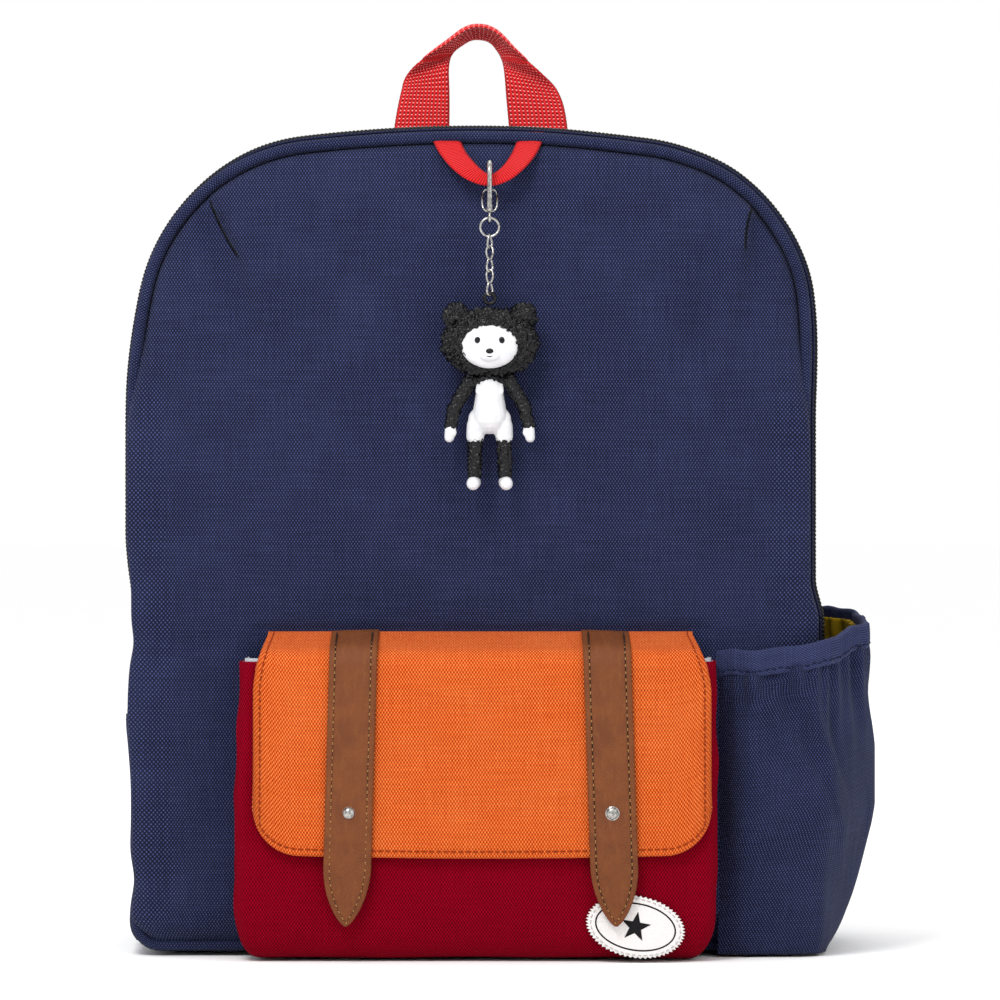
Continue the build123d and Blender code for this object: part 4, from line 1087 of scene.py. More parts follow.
def badge():
    """A woven patch with a pinked edge, an oval line and a plain five-pointed star."""
    low, high = box_mm("badge")
    centre, face = (low + high) / 2, low[1]
    tilt = math.radians(-10)
    half_a, half_b, teeth = 20.2, 12.6, 60

    def place(a, b, y):
        return np.stack([centre[0] + a * math.cos(tilt) - b * math.sin(tilt), np.broadcast_to(y, np.shape(a)),
                         centre[2] + a * math.sin(tilt) + b * math.cos(tilt)], -1)

    turn = around(teeth * 6)
    pinked = 1 + 0.03 * (np.abs(((turn * teeth / (2 * math.pi)) % 1) - 0.5) * 4 - 1)
    rings = []
    for share, y in ((1.0, high[1]), (1.0, face + 0.25), (0.985, face + 0.05), (0.9, face), (0.6, face), (0.3, face),
                     (0.02, face)):
        shape = share * (1 + (pinked - 1) * ease(share, 0.85, 1.0))
        rings.append(place(half_a * shape * np.cos(turn), half_b * shape * np.sin(turn), y))
    grid = np.array(rings)
    rows, columns = grid.shape[:2]
    faces = quads(rows, columns, False, True) + [list(range((rows - 1) * columns, rows * columns))]
    faces += [list(range(columns))[::-1]]
    patch = piece("badge_patch", grid, faces, [BADGE_WHITE], grid[:, :, [0, 2]].reshape(-1, 2))
    turn, tube = around(OVAL_POINTS), around(6)
    oval = [place((16.6 + 0.35 * math.cos(k)) * np.cos(turn), (9.6 + 0.35 * math.cos(k)) * np.sin(turn),
                  face - 0.02 - 0.1 * math.sin(k)) for k in tube]
    points, faces = [np.concatenate(oval)], quads(len(tube), OVAL_POINTS, True, True)
    spikes = np.linspace(math.pi / 2, math.pi * 5 / 2, 11)[:-1]
    radius = np.where(np.arange(10) % 2 == 0, 6.4, 2.6)
    for y in (face - 0.16, face + 0.05):
        points.append(place(radius * np.cos(spikes), radius * np.sin(spikes), y))
    points.append(place(np.zeros(1), np.zeros(1), face - 0.22))
    start = len(points[0])
    for k in range(10):
        n = (k + 1) % 10
        faces += [[start + k, start + n, start + 20], [start + 10 + n, start + 10 + k, start + k, start + n][::-1]]
    points = np.concatenate(points)
    ink = piece("badge_star", points, faces, [BADGE_INK], points[:, [0, 2]], smooth=False)
    belongs(patch, "root", "badge_white", "badge")
    belongs(ink, "root", "badge_white")
    turn = np.linspace(0, 2 * math.pi, 140)
    line = place(half_a * 0.93 * np.cos(turn), half_b * 0.92 * np.sin(turn), face)
    stitches("badge_stitches", line, (0, -1, 0), WHITE_THREAD, "root", pitch=2.4, radius=0.2)


# ---------------- the side pocket
# The pocket's plan at its hem, and the line that its floor runs in to.
SIDE_PLAN = [(101.5, -72.6), (103.4, -74.2), (112, -82.4), (147, -82.4), (167.0, -45), (167.0, 25), (149.5, 59),
             (147.4, 61)]
SIDE_BASE = [(101.5, -72.4), (112, -72.4), (136, -70.5), (144, -66), (146.9, -58), (147, 20), (147, 50), (147.2, 61)]
HEM_HEIGHT, HEM_LENGTH = 11.0, 245
# Nothing of the side pocket reaches farther back than this.
SIDE_BACK_Y = 61.5
# The big folds that hang from the hem: place along it, lean, height, width, and how far down they reach.
SIDE_FOLDS = [(44, 0.42, 2.3, 5.0, 0.45), (20, 0.62, 1.8, 5.5, 0.32), (33, 0.5, -1.7, 4.0, 0.36),
              (62, 0.16, -1.6, 5.0, 0.3), (96, 0.2, 2.0, 6.0, 0.5), (130, 0.0, 1.5, 7.0, 0.3),
              (160, -0.2, 1.8, 7.0, 0.4)]


def side_wall(columns):
    """The pocket's plan: its outer line, its outward normals and the line on the bag that its floor runs in to."""
    line = even(rounded(SIDE_PLAN, 14, 0.7), columns)
    tangent = heading(line)
    return line, np.stack([tangent[:, 1], -tangent[:, 0]], 1), even(rounded(SIDE_BASE, 6, 0.7), columns)


def hem_top(line):
    """The hem's height along the pocket's plan: level across the front, then rising round the side to the back."""
    x, y = line[:, 0], line[:, 1]
    outer = ease(x, 110, 147)
    return 128.2 + outer * (4.2 + 7.4 * ease(y, -82.4, -45) + 4.0 * ease(y, -45, 61))


def side_grid(shrink, columns, top_drop):
    """The pocket's cloth from the hem down, then in along its floor: it's gathered at the hem and hangs in folds."""
    line, outward, base = side_wall(columns)
    share = np.linspace(0, 1, columns)
    loose = ease(share, 0.0, 0.1) * ease(1 - share, 0.0, 0.08)
    downs = np.concatenate([np.linspace(0, 1, 58) ** 1.1 * 0.77, 0.77 + 0.23 * np.linspace(0, 1, 16)[1:]])
    top = hem_top(line) - top_drop
    floor = 0.9 + shrink
    rows = []
    for d in downs:
        z = top + (floor - top) * d
        low_share = np.clip((62 - z) / 62, 0, 1)
        tuck_in = 0.5 * low_share + 0.1 * low_share**2 + 0.4 * low_share**6
        push = loose * (-1.2 + 2.2 * np.sin(math.pi * np.clip(d * 1.15, 0, 1)) ** 0.8)
        s = share * HEM_LENGTH
        pleats = 1.25 * np.sin(s * 0.62 + 1.1 * np.sin(s * 0.11)) + 0.9 * np.sin(s * 0.31 + 2)
        push += loose * pleats * np.exp(-d * 7.5) * 1.15 * ease(d, -0.08, 0.06)
        push += loose * (1.5 * ripple(s * 0.7, z, 71, 46) + 0.2 * ripple(s, z * 0.5, 72, 17)) * ease(d, 0.0, 0.3)
        for at, lean, high, wide, reach in SIDE_FOLDS:
            push += loose * high * bell(s - at - (top - z) * lean, 0, wide) * (1 - ease(d, reach, reach + 0.3))
        push = np.minimum(push, 2.6) - shrink
        xy = line + outward * push[:, None]
        xy = xy * (1 - 0.9 * tuck_in[:, None]) + base * 0.9 * tuck_in[:, None]
        rows.append(np.column_stack([xy, z]))
    last = rows[-1]
    for k in np.linspace(0, 1, 9)[1:]:
        xy = last[:, :2] * (1 - k) + base * k
        rows.append(np.column_stack([xy, np.full(columns, floor)]))
    grid = np.array(rows)
    grid[:, :, 1] = np.minimum(grid[:, :, 1], SIDE_BACK_Y)
    return grid[:, ::-1]


def side_pocket():
    grid = side_grid(0.0, 301, HEM_HEIGHT - 1.5)
    obj = cloth("side_pocket_shell", grid, NAVY, YELLOW, thick=1.2)
    belongs(obj, "root", "navy_canvas", "side_pocket")
    grid = side_grid(2.4, 141, 4.0)
    obj = cloth("side_pocket_lining_cloth", grid, YELLOW, thick=0.6)
    belongs(obj, "root", "yellow_lining", "side_pocket_lining")
    side_hem()


def side_hem():
    """The elastic hem: a folded band with fine upright ribs, puckered where it was stretched and sewn."""
    columns = 620
    line, outward, _ = side_wall(columns)
    share = np.linspace(0, 1, columns)
    loose = ease(share, 0.0, 0.06) * ease(1 - share, 0.0, 0.05)
    s = share * HEM_LENGTH
    section = [(-1.9, 0.0), (-1.9, 5.0), (-1.8, 9.6), (-1.0, 10.8), (0.2, 11.0), (1.0, 10.2), (1.15, 8.4), (1.2, 6.2),
               (1.2, 4.2), (1.1, 2.6), (0.75, 2.1), (1.1, 1.5), (0.9, 0.3), (-0.2, -0.2)]
    ribs = 0.2 * np.sin(s * 2 * math.pi / 1.9)
    pucker = 0.4 * np.sin(s * 0.62 + 1.1 * np.sin(s * 0.11))
    rise = loose * (0.7 * np.sin(s * 0.09 + 1.0) + 0.4 * np.sin(s * 0.23))
    rings = []
    for out, up in section:
        push = out + (ribs if out > 0.5 and up > 2.4 else 0) + pucker * loose * (1 - up / 16) - loose
        xy = line + outward * push[:, None]
        xy[:, 1] = np.minimum(xy[:, 1], SIDE_BACK_Y + 0.1)
        rings.append(np.column_stack([xy, hem_top(line) - HEM_HEIGHT + up + rise]))
    grid = np.array(rings)
    rows = len(section)
    flat = np.stack(np.broadcast_arrays(s[None, :], np.array([u for _, u in section])[:, None]), 2)
    faces = [f[::-1] for f in quads(rows, columns, True, False)]
    faces += [[k * columns for k in range(rows)], [k * columns + columns - 1 for k in range(rows)][::-1]]
    obj = piece("side_pocket_hem_band", grid, faces, [NAVY_HEM], flat)
    belongs(obj, "root", "navy_canvas", "side_pocket_hem")
    keep = slice(8, columns - 8)
    xy = line + outward * (0.9 + pucker * loose - loose)[:, None]
    seam = np.column_stack([xy, hem_top(line) - HEM_HEIGHT + 2.1 + rise])[keep]
    seam[:, 2] += 0.35 * np.sin(s[keep] * 1.1)
    stitches("side_hem_stitches", seam, np.column_stack([outward, 0 * s])[keep], NAVY_THREAD, "root",
             pitch=3.0)


# ---------------- webbing handle and charm ribbon
def strip(name, left, right, out, material, thick, body, slot, node, rows=9, bow=0.0):
    """A flat ribbon between two edge lines, with rounded edges, bowed outward in the middle by bow (one number or
    one for each point). out is the side it faces."""
    share = np.linspace(0, 1, rows)
    span = right - left
    out = np.broadcast_to(np.asarray(out, float), left.shape)
    bow = np.broadcast_to(bow, len(left))
    tangent = np.gradient((left + right) / 2, axis=0)
    normal = unit(np.cross(span, tangent))
    normal *= np.sign((normal * out).sum(1, keepdims=True))
    curve = (1 - (2 * share - 1) ** 2)[None, :, None] * bow[:, None, None] * normal[:, None]
    face = left[:, None] + span[:, None] * share[None, :, None] + curve
    half = normal[:, None] * (thick / 2 * np.sin(math.pi * share) ** 0.25)[None, :, None]
    front, back = face + half, face - half
    grid = np.concatenate([front, back[:, ::-1][:, 1:-1]], axis=1)
    count, ring = grid.shape[:2]
    width = np.linalg.norm(span, axis=1).max()
    middle = (left + right) / 2
    along = travel(middle)
    places = np.concatenate([share, share[::-1][1:-1]]) * width
    flat = np.stack(np.broadcast_arrays(places[None, :], along[:, None]), 2)
    obj = piece(name, grid, capped(count, ring), [material], flat)
    recalculate(obj)
    belongs(obj, body, slot, node)
    return obj


def smooth_line(points, step):
    """A smooth line through the points, evenly spaced."""
    points = np.asarray(points, float)
    at = travel(points)
    fine = np.linspace(0, at[-1], 400)
    slope = np.gradient(points, at, axis=0)
    k = np.clip(np.searchsorted(at, fine, side="right") - 1, 0, len(at) - 2)
    h = (at[k + 1] - at[k])[:, None]
    t = ((fine - at[k])[:, None]) / h
    line = ((1 + 2 * t) * (1 - t) ** 2 * points[k] + t * (1 - t) ** 2 * h * slope[k]
            + t * t * (3 - 2 * t) * points[k + 1] + t * t * (t - 1) * h * slope[k + 1])
    return even(line, max(2, round(at[-1] / step) + 1))


HANDLE_Y = 69.6
# Stations of the handle's outer and inner edges: x, z, and how far the edge stands forward.
HANDLE_OUTER = [(-37.2, 352.3, 0), (-36.2, 360, 0), (-33.6, 373, 0), (-31.6, 379.5, 0.4), (-27.8, 384, 4),
                (-14, 393.2, 7.4), (-0.8, 401.0, 7.6), (3.8, 400.8, 7.6), (18.5, 389.8, 7.2), (29.4, 380.6, 4),
                (35.0, 375.2, 0.6),
                (38.0, 369.5, 0), (40.2, 360, 0), (41.0, 352.3, 0)]
HANDLE_INNER = [(-12.2, 352.3, 0), (-12.0, 360, 0), (-12.0, 373, 0), (-12.2, 383.5, -0.4), (-11.4, 388.4, -4),
                (-6.0, 394.2, -7.4), (0.2, 396.6, -7.6), (3.2, 396.3, -7.6), (9.2, 391.4, -7.2), (11.8, 385.2, -4),
                (12.6, 379, -0.6), (13.2, 371, 0), (14.2, 360, 0), (14.8, 352.3, 0)]


def handle_lines():
    """Both edge lines, matched station by station and smoothed together."""
    both = np.array([[x, HANDLE_Y - f, z, x2, HANDLE_Y - f2, z2]
                     for (x, z, f), (x2, z2, f2) in zip(HANDLE_OUTER, HANDLE_INNER)])
    line = smooth_line(both, 1.0)
    return line[:, :3], line[:, 3:]


def handle():
    outer, inner = handle_lines()
    share = np.linspace(0, 1, len(outer))
    top = np.sin(math.pi * np.clip((share - 0.25) / 0.5, 0, 1)) ** 0.8
    out = np.stack([0 * share, -np.ones(len(share)), 1.6 * top], 1)
    strip("carry_handle_webbing", outer, inner, out, RED_WEBBING, 1.8, "handle", "red_webbing", "carry_handle",
          rows=15, bow=3.2 * top)
    for side, (x0, x1) in (("left", (-37.0, -12.0)), ("right", (14.7, 41.0))):
        z = np.linspace(322.3, 352.9, 24)
        left = np.stack([np.full(24, x0 + 0.2), np.full(24, HANDLE_Y - 0.35), z], 1)
        right = left + [x1 - x0 - 0.4, 0, 0]
        strip(f"handle_foot_{side}", left, right, (0, -1, 0), RED_WEBBING, 1.2, "root", "red_webbing", "handle_feet")


# How far forward the ribbon hangs, at heights above its lowest point.
RIBBON_RISE = [0, 3.6, 7, 10.4, 13, 15.2, 17.0, 18.4, 22.5]
RIBBON_Y = [-82.6, -80.9, -77.6, -73.9, -71.0, -69.0, -67.0, -64.4, -63.4]


def charm_ribbon():
    """The grosgrain loop that the charm hangs on: both ends are sewn in under the piping at the crown."""
    low, high = box_mm("charm_ribbon")
    cx, bottom = (low[0] + high[0]) / 2, low[2]
    outer = [(-25.6, 345.4), (-20.6, 335.4), (-15.0, 328.6), (-8.6, 324.0), (0.2, 321.8), (7.4, 323.8), (13.8, 328.6),
             (19.0, 335.0), (23.6, 345.4)]
    inner = [(-13.4, 345.8), (-10.2, 337.4), (-6.6, 332.4), (-3.2, 328.8), (0.3, 326.8), (3.8, 328.8), (7.0, 332.6),
             (9.8, 337.6), (12.4, 345.8)]
    line = smooth_line([(cx + a, b, cx + c, d) for (a, b), (c, d) in zip(outer, inner)], 0.7)
    edges = []
    for k, forward in ((0, 0.3), (2, 0.0)):
        height = line[:, k + 1] - bottom
        y = np.interp(height, RIBBON_RISE, RIBBON_Y) - forward
        edges.append(np.column_stack([line[:, k], y, line[:, k + 1]]))
    strip("charm_ribbon_loop", *edges, (0, -1, 0.3), RED_RIBBON, 0.9, "front_panel", "red_webbing", "charm_ribbon")


# ---------------- the charm's figure, a plain bear
CHARM_X = 6.2


def blob(centre, radii):
    """A ball with its own radii, as (points, faces)."""
    bm = bmesh.new()
    bmesh.ops.create_icosphere(bm, subdivisions=4, radius=1.0)
    points = np.array([v.co for v in bm.verts]) * radii + centre
    faces = [[v.index for v in f.verts] for f in bm.faces]
    bm.free()
    return points, faces


def limb(start, end, r0, r1):
    """A tapered round limb with domed ends, as (points, faces)."""
    t = np.concatenate([np.zeros(5), np.linspace(0, 1, 12), np.ones(5)])
    dome = np.sin(np.linspace(0.12, math.pi / 2, 5))
    size = np.concatenate([r0 * dome, r0 + (r1 - r0) * np.linspace(0, 1, 12), r1 * dome[::-1]])
    start, end = np.array(start, float), np.array(end, float)
    axis = (end - start) / np.linalg.norm(end - start)
    cap = np.cos(np.linspace(0.12, math.pi / 2, 5))
    extra = np.concatenate([-r0 * cap, np.zeros(12), r1 * cap[::-1]])
    line = start + (end - start) * t[:, None] + axis * extra[:, None]
    rings = rod_rings(line + axis * np.linspace(0, 1e-3, len(line))[:, None], size, 20)
    return rings.reshape(-1, 3), capped(len(line), 20)


def fused(name, parts, voxel, material, slot, node, tuft=0.0, tuft_size=1.0, smoothing=4, hollow=None):
    """Joins the parts into one moulded skin, and roughens it into curls where tuft isn't 0. hollow is a place and
    size in (x, z) where the skin is pushed back to a depth, to let the face in."""
    rough = piece(name + "_rough", *joined(parts), [material])
    remesh = rough.modifiers.new("remesh", "REMESH")
    remesh.mode = "VOXEL"
    remesh.voxel_size = voxel * MM
    soft = rough.modifiers.new("soft", "SMOOTH")
    soft.iterations = smoothing
    shape = rough.evaluated_get(bpy.context.evaluated_depsgraph_get()).to_mesh()
    skin = np.array([v.co for v in shape.vertices]) / MM
    out = np.array([v.normal for v in shape.vertices])
    faces = [list(f.vertices) for f in shape.polygons]
    bpy.data.objects.remove(rough)
    if tuft:
        places = [Vector(p) / tuft_size for p in skin]
        curl = [noise.noise(p) + 0.6 * abs(noise.noise(p * 2.1)) for p in places]
        skin = skin + out * (tuft * np.array(curl))[:, None]
    if hollow:
        (hx, hz), (rx, rz), back = hollow
        inside = ((skin[:, 0] - hx) / rx) ** 2 + ((skin[:, 2] - hz) / rz) ** 2 < 1
        skin[inside, 1] = np.maximum(skin[inside, 1], back)
    belongs(piece(name, skin, faces, [material]), "bear", slot, node)


def bear():
    cx, y, hips = CHARM_X, -85.5, 221.0
    head = [blob((cx, y + 0.6, 256.4), (20.0, 7.6, 14.4)), blob((cx - 14.0, y, 267.6), (5.4, 3.6, 5.2)),
            blob((cx + 14.0, y, 267.6), (5.4, 3.6, 5.2))]
    fused("bear_head_curls", head, 0.55, BLACK_VINYL, "black_vinyl", "bear_head", tuft=1.9, tuft_size=1.35,
          smoothing=2, hollow=((cx, 254.6), (10.9, 8.3), -90.6))
    eyelet = [(cx + 2.2 * math.cos(t), y, 274.9 + 2.2 * math.sin(t)) for t in np.linspace(0, 2 * math.pi, 41)]
    obj = piece("bear_eyelet", rod_rings(eyelet, 0.85, 10), quads(41, 10, False, True), [BLACK_VINYL])
    belongs(obj, "bear", "black_vinyl")
    face = [blob((cx, -90.6, 254.7), (11.8, 4.3, 9.1)), blob((cx, -93.8, 251.6), (4.6, 1.9, 3.2))]
    fused("bear_face_mould", face, 0.4, WHITE_VINYL, "white_vinyl", "bear_face", smoothing=3)
    mouth = [(cx + 1.5 * math.sin(t), -95.55 + 0.25 * abs(t), 251.3 - 0.9 * math.cos(t))
             for t in np.linspace(-1.2, 1.2, 13)]
    features = [blob((cx, -95.5, 252.7), (1.6, 0.8, 1.1)), blob((cx - 5.0, -94.1, 257.2), (1.25, 0.8, 1.45)),
                blob((cx + 5.0, -94.1, 257.2), (1.25, 0.8, 1.45)),
                (rod_rings(mouth, 0.22, 8).reshape(-1, 3), quads(13, 8, False, True))]
    belongs(piece("bear_features", *joined(features), [BLACK_VINYL]), "bear", "black_vinyl")
    romper = [blob((cx, y, 224.6), (9.0, 4.4, 6.2)), limb((cx, y, 226), (cx, y, 236.5), 7.4, 5.6)]
    romper += [limb((cx + s * 5.6, y, 222), (cx + s * 6.0, y, 217.6), 4.0, 3.8) for s in (-1, 1)]
    romper += [limb((cx + s * 4.4, y - 2.6, 236), (cx + s * 4.2, y + 1.0, 241.4), 1.5, 1.4) for s in (-1, 1)]
    fused("bear_romper_mould", romper, 0.4, WHITE_VINYL, "white_vinyl", "bear_romper")
    limbs, paws = [blob((cx, y + 0.4, 239.4), (6.4, 3.6, 5.0))], []
    for s in (-1, 1):
        limbs.append(limb((cx + s * 8.2, y, hips + 19.5), (cx + s * 14.6, y, hips + 8.5), 2.9, 2.7))
        limbs.append(limb((cx + s * 14.6, y, hips + 8.5), (cx + s * 16.2, y - 0.5, hips + 1.0), 2.7, 2.4))
        limbs.append(limb((cx + s * 5.9, y, hips - 4.5), (cx + s * 6.4, y, hips - 19), 3.0, 2.9))
        paws.append(limb((cx + s * 16.3, y - 0.6, hips - 0.6), (cx + s * 16.8, y - 0.9, hips - 4.0), 2.4, 2.1))
        paws.append(blob((cx + s * 14.7, y - 1.3, hips - 1.9), (1.0, 1.0, 1.6)))
        paws.append(limb((cx + s * 6.5, y + 0.4, hips - 22.6), (cx + s * 6.9, y - 3.0, hips - 23.2), 2.9, 2.8))
    fused("bear_limb_curls", limbs, 0.45, BLACK_VINYL, "black_vinyl", "bear_limbs", tuft=0.85, tuft_size=1.05,
          smoothing=2)
    fused("bear_paw_moulds", paws, 0.4, WHITE_VINYL, "white_vinyl", "bear_paws", smoothing=3)


# ---------------- the shoulder straps
STRAP_TOP_X, STRAP_TOP_Z, STRAP_TURN = 44.0, 322.0, math.radians(14.956)
STRAP_FOOT_X, STRAP_FOOT_Y = 122.0, 69.6
PAD_HALF, PAD_THICK = 26.0, 9.0
# Where the pad is quilted, as distances along it.
PAD_QUILTS = (28, 58, 88, 118, 148)


def on_strap(sign, x, y, z):
    """Points of a strap's own frame (x across, y out from the back, z up its length) in the bag's frame."""
    x, y, z = np.broadcast_arrays(x, y, z)
    c, s = math.cos(STRAP_TURN), math.sin(STRAP_TURN) * sign
    return np.stack([sign * STRAP_TOP_X + x * c - z * s, 69 + y, STRAP_TOP_Z + x * s + z * c], -1)


def padded_strap(side, sign):
    """The strap's pad: crowned foam in cloth, quilted in a ladder, with binding and stitches along both edges."""
    route = rounded([(4.2, 22), (10, 0), (24, -26), (37, -85), (37, -150), (29, -192)], 30, 1.6)
    route = route[(route[:, 1] < -19.6) & (route[:, 1] > -190.4)]
    tangent = heading(route)
    out = np.stack([-tangent[:, 1], tangent[:, 0]], 1)
    along = travel(route)
    end = np.minimum(along, along[-1] - along)
    plump = 0.42 + 0.58 * ease(end, 0, 16)
    waist = PAD_HALF - 4.5 * ease(along, along[-1] - 34, along[-1])
    quilt = 0.75 * np.maximum.reduce([bell(along, c, 1.7) for c in PAD_QUILTS])
    turn = around(56)
    wide = np.sign(np.cos(turn)) * np.abs(np.cos(turn)) ** 0.42 * 0.955
    high = np.sign(np.sin(turn)) * np.abs(np.sin(turn)) ** 0.62
    middle = 1 - ease(np.abs(wide), 0.72, 0.9)
    seam = 0.28 * bell(np.abs(wide), 0.84, 0.045)
    x = waist[:, None] * wide
    lumps = 0.35 * ripple(along[:, None], x, 81 + sign, 22) * middle
    face = high * (PAD_THICK / 2 * plump[:, None] * (1 - seam) - quilt[:, None] * middle + lumps * 0.6)
    y = route[:, :1] + out[:, :1] * face
    z = route[:, 1:] + out[:, 1:] * face
    grid = on_strap(sign, x, y, z)
    flat = np.stack([x, np.repeat(along[:, None], len(turn), 1)], 2)
    faces = capped(len(route), len(turn))
    obj = piece(f"shoulder_pad_{side}", grid, faces, [NAVY], flat)
    recalculate(obj)
    belongs(obj, f"strap_{side}", "navy_canvas", f"shoulder_strap_{side}", f"strap_foam_{side}")
    for edge, s in (("inner", -1), ("outer", 1)):
        binding = on_strap(sign, s * (waist - 0.7), route[:, 0], route[:, 1])
        rings = rod_rings(binding, 1.25, 10)
        flat = np.stack(np.broadcast_arrays(np.arange(10)[None, :] * 0.8, along[:, None]), 2)
        cord = piece(f"strap_binding_{side}_{edge}", rings, capped(len(route), 10), [TAPE],
                     flat)
        recalculate(cord)
        belongs(cord, f"strap_{side}", "navy_webbing")
        row = on_strap(sign, s * waist * 0.8, route[:, 0] + out[:, 0] * 4.1 * plump,
                       route[:, 1] + out[:, 1] * 4.1 * plump)
        stitches(f"strap_pad_stitches_{side}_{edge}", row[6:-6], (0, 1, 0), NAVY_THREAD, f"strap_{side}",
                 pitch=3.4)


WEBBING_HALF, WEBBING_THICK = 12.5, 1.3


def band(name, sign, route, body, node):
    """Flat 25 mm webbing along a strap's route, given as (y, z) points in the strap's frame."""
    left, right = [on_strap(sign, x, route[:, 0], route[:, 1]) for x in (-WEBBING_HALF, WEBBING_HALF)]
    tangent = np.gradient(route, axis=0)
    out = on_strap(sign, 0, -tangent[:, 1], tangent[:, 0]) - on_strap(sign, 0, 0, 0)
    strip(name, left, right, out, NAVY_WEBBING, WEBBING_THICK, body, "navy_webbing", node)


def shoulder_strap(side, sign):
    padded_strap(side, sign)
    run = [(3, -306.2), (23.5, -232), (25.5, -222), (25.5, -204.2), (33.5, -204.2), (33.5, -222), (28.5, -275)]
    route = rounded(run, 3.2, 0.8)
    lead = np.argmax(route[:, 1] >= -284.2)
    band(f"strap_webbing_run_{side}", sign, route[lead:], f"strap_{side}", f"strap_webbing_{side}")
    band(f"strap_foot_webbing_{side}", sign, route[:lead], "root", "strap_foot_anchors")
    loop = [(29.2, -186), (26.6, -192), (26.0, -198.0), (29.5, -200.0), (33.0, -198.0), (33.4, -192), (31.6, -186)]
    band(f"buckle_tab_loop_{side}", sign, rounded(loop, 2.5, 0.6), f"strap_{side}", f"buckle_tab_{side}")
    stub = rounded([(4.4, 20), (8.0, 4), (14.5, -8), (20.2, -19.8)], 10, 1.2)
    left, right = [on_strap(sign, x, stub[:, 0], stub[:, 1]) for x in (-23.5, 23.5)]
    obj = strip(f"strap_top_{side}", left, right, (0, 1, 0.4), NAVY, 4.2, "root", "navy_canvas", "strap_top_ends",
                rows=13, bow=0.9)
    x0 = sign * STRAP_FOOT_X
    tab = np.array([[x0 - 15.5, STRAP_FOOT_Y, z] for z in np.linspace(10.6, 33.6, 16)])
    taper = np.linspace(0, 1, 16)[:, None] * [[sign * 3.0, 0, 0]]
    strip(f"strap_foot_tab_{side}", tab - taper * (sign < 0), tab + [31, 0, 0] - taper * (sign > 0), (0, 1, 0), NAVY,
          1.6, "root", "navy_canvas", "strap_foot_anchors")
    box_line = np.array([[x0 + x, STRAP_FOOT_Y + 1.0, z]
                         for x, z in ((-12, 13), (12, 13), (11, 30), (-11, 30), (-12, 13), (11, 30))])
    stitches(f"foot_tab_stitches_{side}", spaced(box_line, 1.0), (0, 1, 0), NAVY_THREAD, "root",
             pitch=3.0)


def yoke():
    """The patch that covers the straps' and handle's sewn ends, with a double row of stitches."""
    low, high = box_mm("yoke_patch")
    x, z = np.meshgrid(np.linspace(low[0], high[0], 73), np.linspace(low[2], high[2], 25))
    edge = np.minimum.reduce([x - low[0], high[0] - x, z - low[2], high[2] - z])
    y = low[1] + 1.0 + 0.9 * ease(edge, 0, 3) + 0.2 * ripple(x, z, 91, 22)
    grid = np.stack([x, y, z], 2)[:, ::-1]
    obj = cloth("yoke_patch_cloth", grid, NAVY, thick=1.1)
    belongs(obj, "root", "navy_canvas", "yoke_patch")
    for row, inset in enumerate((2.2, 4.6)):
        a, b, c, d = low[0] + inset, high[0] - inset, low[2] + inset, high[2] - inset
        line = np.array([[a, 0, c], [b, 0, c], [b, 0, d], [a, 0, d], [a, 0, c]]) + [0, low[1] + 1.9, 0]
        stitches(f"yoke_stitches_{row}", spaced(line, 1.0), (0, 1, 0), NAVY_THREAD, "root")


# ---------------- small metal parts
def wire(name, line, radius, body, node, sides=12):
    """A round wire along a line, with closed ends."""
    obj = piece(name, rod_rings(line, radius, sides), capped(len(line), sides), [NICKEL])
    recalculate(obj)
    belongs(obj, body, "nickel", node)


def lathed(name, profile, place, body, node):
    """A turned part on an axis that faces forward: profile is (radius, y), and place is the axis as (x, z)."""
    sides = 40
    turn = around(sides)
    grid = np.array([[(place[0] + r * math.cos(t), y, place[1] + r * math.sin(t)) for t in turn] for r, y in profile])
    faces = quads(len(profile), sides, False, True)
    faces += [list(range(sides)), [(len(profile) - 1) * sides + k for k in range(sides)]]
    obj = piece(name, grid, faces, [NICKEL])
    recalculate(obj)
    belongs(obj, body, "nickel", node)


RIVETS = {"left": (-51.9, 61.7), "right": (56.9, 61.7)}
# A rivet's profile as (radius, y), the hook's line as (y, z), and the right half of the gate's wire.
RIVET_PROFILE = [(0.05, -105.8), (0.8, -105.76), (1.5, -105.58), (2.1, -105.2), (2.45, -104.8), (2.5, -104.62),
                 (2.7, -104.66), (3.0, -104.5), (3.05, -104.3), (2.6, -104.2), (1.0, -104.1), (1.0, -100.5),
                 (4.0, -100.45), (4.0, -99.95), (0.05, -99.9)]
HOOK = [(-85.4, 311.4), (-85.8, 314.0), (-86.2, 319.0), (-86.2, 325.0), (-85.6, 329.0), (-83.8, 331.3),
        (-81.4, 331.5), (-79.2, 330.2), (-77.9, 327.6), (-77.5, 324.4), (-77.5, 323.3)]
GATE = [(0, -83.9, 311.2), (1.7, -83.9, 311.4), (2.8, -83.5, 312.8), (3.1, -82.4, 315.0), (3.1, -80.6, 317.4),
        (2.7, -79.0, 319.2), (1.7, -77.9, 320.3), (0.6, -77.5, 320.7)]


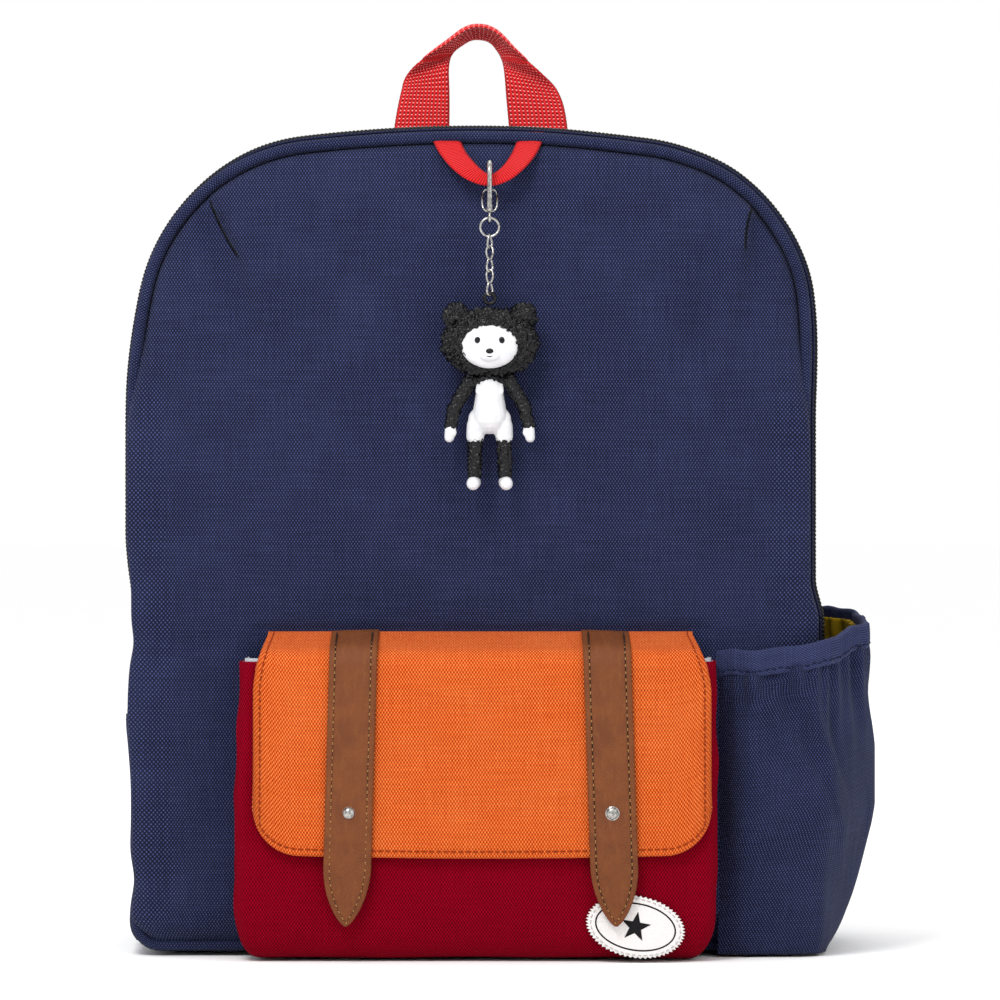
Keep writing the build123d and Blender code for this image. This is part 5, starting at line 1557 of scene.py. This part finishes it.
def metal_parts():
    for side, place in RIVETS.items():
        lathed(f"snap_rivet_{side}", RIVET_PROFILE, place, "flap", "snap_rivets")
    cx = CHARM_X
    line = smooth_line([(cx, y, z) for y, z in HOOK], 0.5)
    size = np.interp(line[:, 2], [311, 316, 324, 331], [1.35, 1.2, 1.05, 1.1])
    wire("clasp_hook_bow", line, size, "clasp", "clasp_hook", 16)
    turn = np.linspace(0, 2 * math.pi, 49)
    wire("clasp_eye", [(cx, -85.5 + 1.95 * math.cos(t), 308.4 + 1.95 * math.sin(t)) for t in turn], 0.62, "clasp",
         "clasp_hook")
    half = np.array(GATE)
    loop = np.concatenate([half, (half * [-1, 1, 1])[::-1]]) + [cx, 0, 0]
    wire("clasp_gate_loop", smooth_line(loop, 0.4), 0.45, "gate", "clasp_gate")
    for node, body, turned, half_wide, radius in CHAIN:
        low, high = box_mm(node)
        middle, tall = (low + high) / 2, (high[2] - low[2]) / 2 - radius
        across, deep = half_wide * np.sin(turn), 0.3 * np.sin(2 * turn)
        c, d = math.cos(math.radians(turned)), math.sin(math.radians(turned))
        line = np.column_stack([across * c - deep * d, across * d + deep * c, tall * np.cos(turn)]) + middle
        wire(node + "_wire", line, radius, body, node)


# Each link's node, its body, the degrees it's turned about the chain, half its width and its wire's radius.
CHAIN = [("jump_ring", "ring", 0, 3.9, 0.55), ("chain_link_1", "link_1", 62, 1.7, 0.5),
         ("chain_link_2", "link_2", -38, 1.7, 0.5), ("chain_link_3", "link_3", 48, 1.7, 0.5),
         ("chain_link_4", "link_4", -40, 1.7, 0.5),
         ("chain_end_link", "end_link", 52, 1.7, 0.5)]


# ---------------- nodes whose CAD shape is right
NODE_FINISHES = {
    "zip_stops": NICKEL, "zip_slider": NICKEL, "zip_puller": NICKEL, "snap_sockets": NICKEL,
    "ladder_lock_left": PLASTIC, "ladder_lock_right": PLASTIC,
}


# ---------------- floor and light
def stage():
    """A pale round floor that runs far out behind the bag, a white surround and soft lights."""
    look = Look("pale_floor", roughness=1.0, specular=0.0)
    speck = look.noise(look.solid_map(), 0.02, 3)
    look.colour(look.mix(look.step(speck, 0.3, 0.7), (0.985, 0.985, 0.985, 1), (1.0, 1.0, 1.0, 1)))
    reach = np.concatenate([np.linspace(0, 2000, 21), np.linspace(2400, 20000, 12)])
    turn = around(48)
    grid = np.array([[(r * math.cos(t), r * math.sin(t), -0.4) for t in turn] for r in reach + 1])
    faces = quads(len(reach), 48, False, True) + [list(range(48))]
    floor = piece("pale_floor", grid, faces, [look.material])
    world = bpy.data.worlds.new("studio")
    scene.world = world
    world.use_nodes = True
    background = world.node_tree.nodes["Background"]
    background.inputs[0].default_value = (1, 1, 1, 1)
    background.inputs[1].default_value = 1.0
    for name, place, size, power in (("key", (-0.32, -0.78, 0.98), 0.4, 7.5), ("fill", (1.6, -1.6, 0.9), 1.4, 4),
                                     ("top", (0, 0.2, 2.2), 1.2, 7), ("behind", (0.3, 2.2, 1.6), 1.6, 9)):
        light = bpy.data.objects.new(name, bpy.data.lights.new(name, "AREA"))
        light.data.size = size
        light.data.energy = power
        light.location = place
        light.rotation_euler = (Vector((0, 0, 0.2)) - Vector(place)).to_track_quat("-Z", "Y").to_euler()
        scene.collection.objects.link(light)


front_skin()
pipings()
zips()
gussets()
back_panel()
front_pocket()
flap()
leather_straps()
badge()
side_pocket()
handle()
charm_ribbon()
bear()
for strap_side, strap_sign in (("left", -1), ("right", 1)):
    shoulder_strap(strap_side, strap_sign)
yoke()
metal_parts()
for node_name, finish in NODE_FINISHES.items():
    node_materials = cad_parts[node_name].data.materials
    node_materials.clear()
    node_materials.append(finish)
stage()
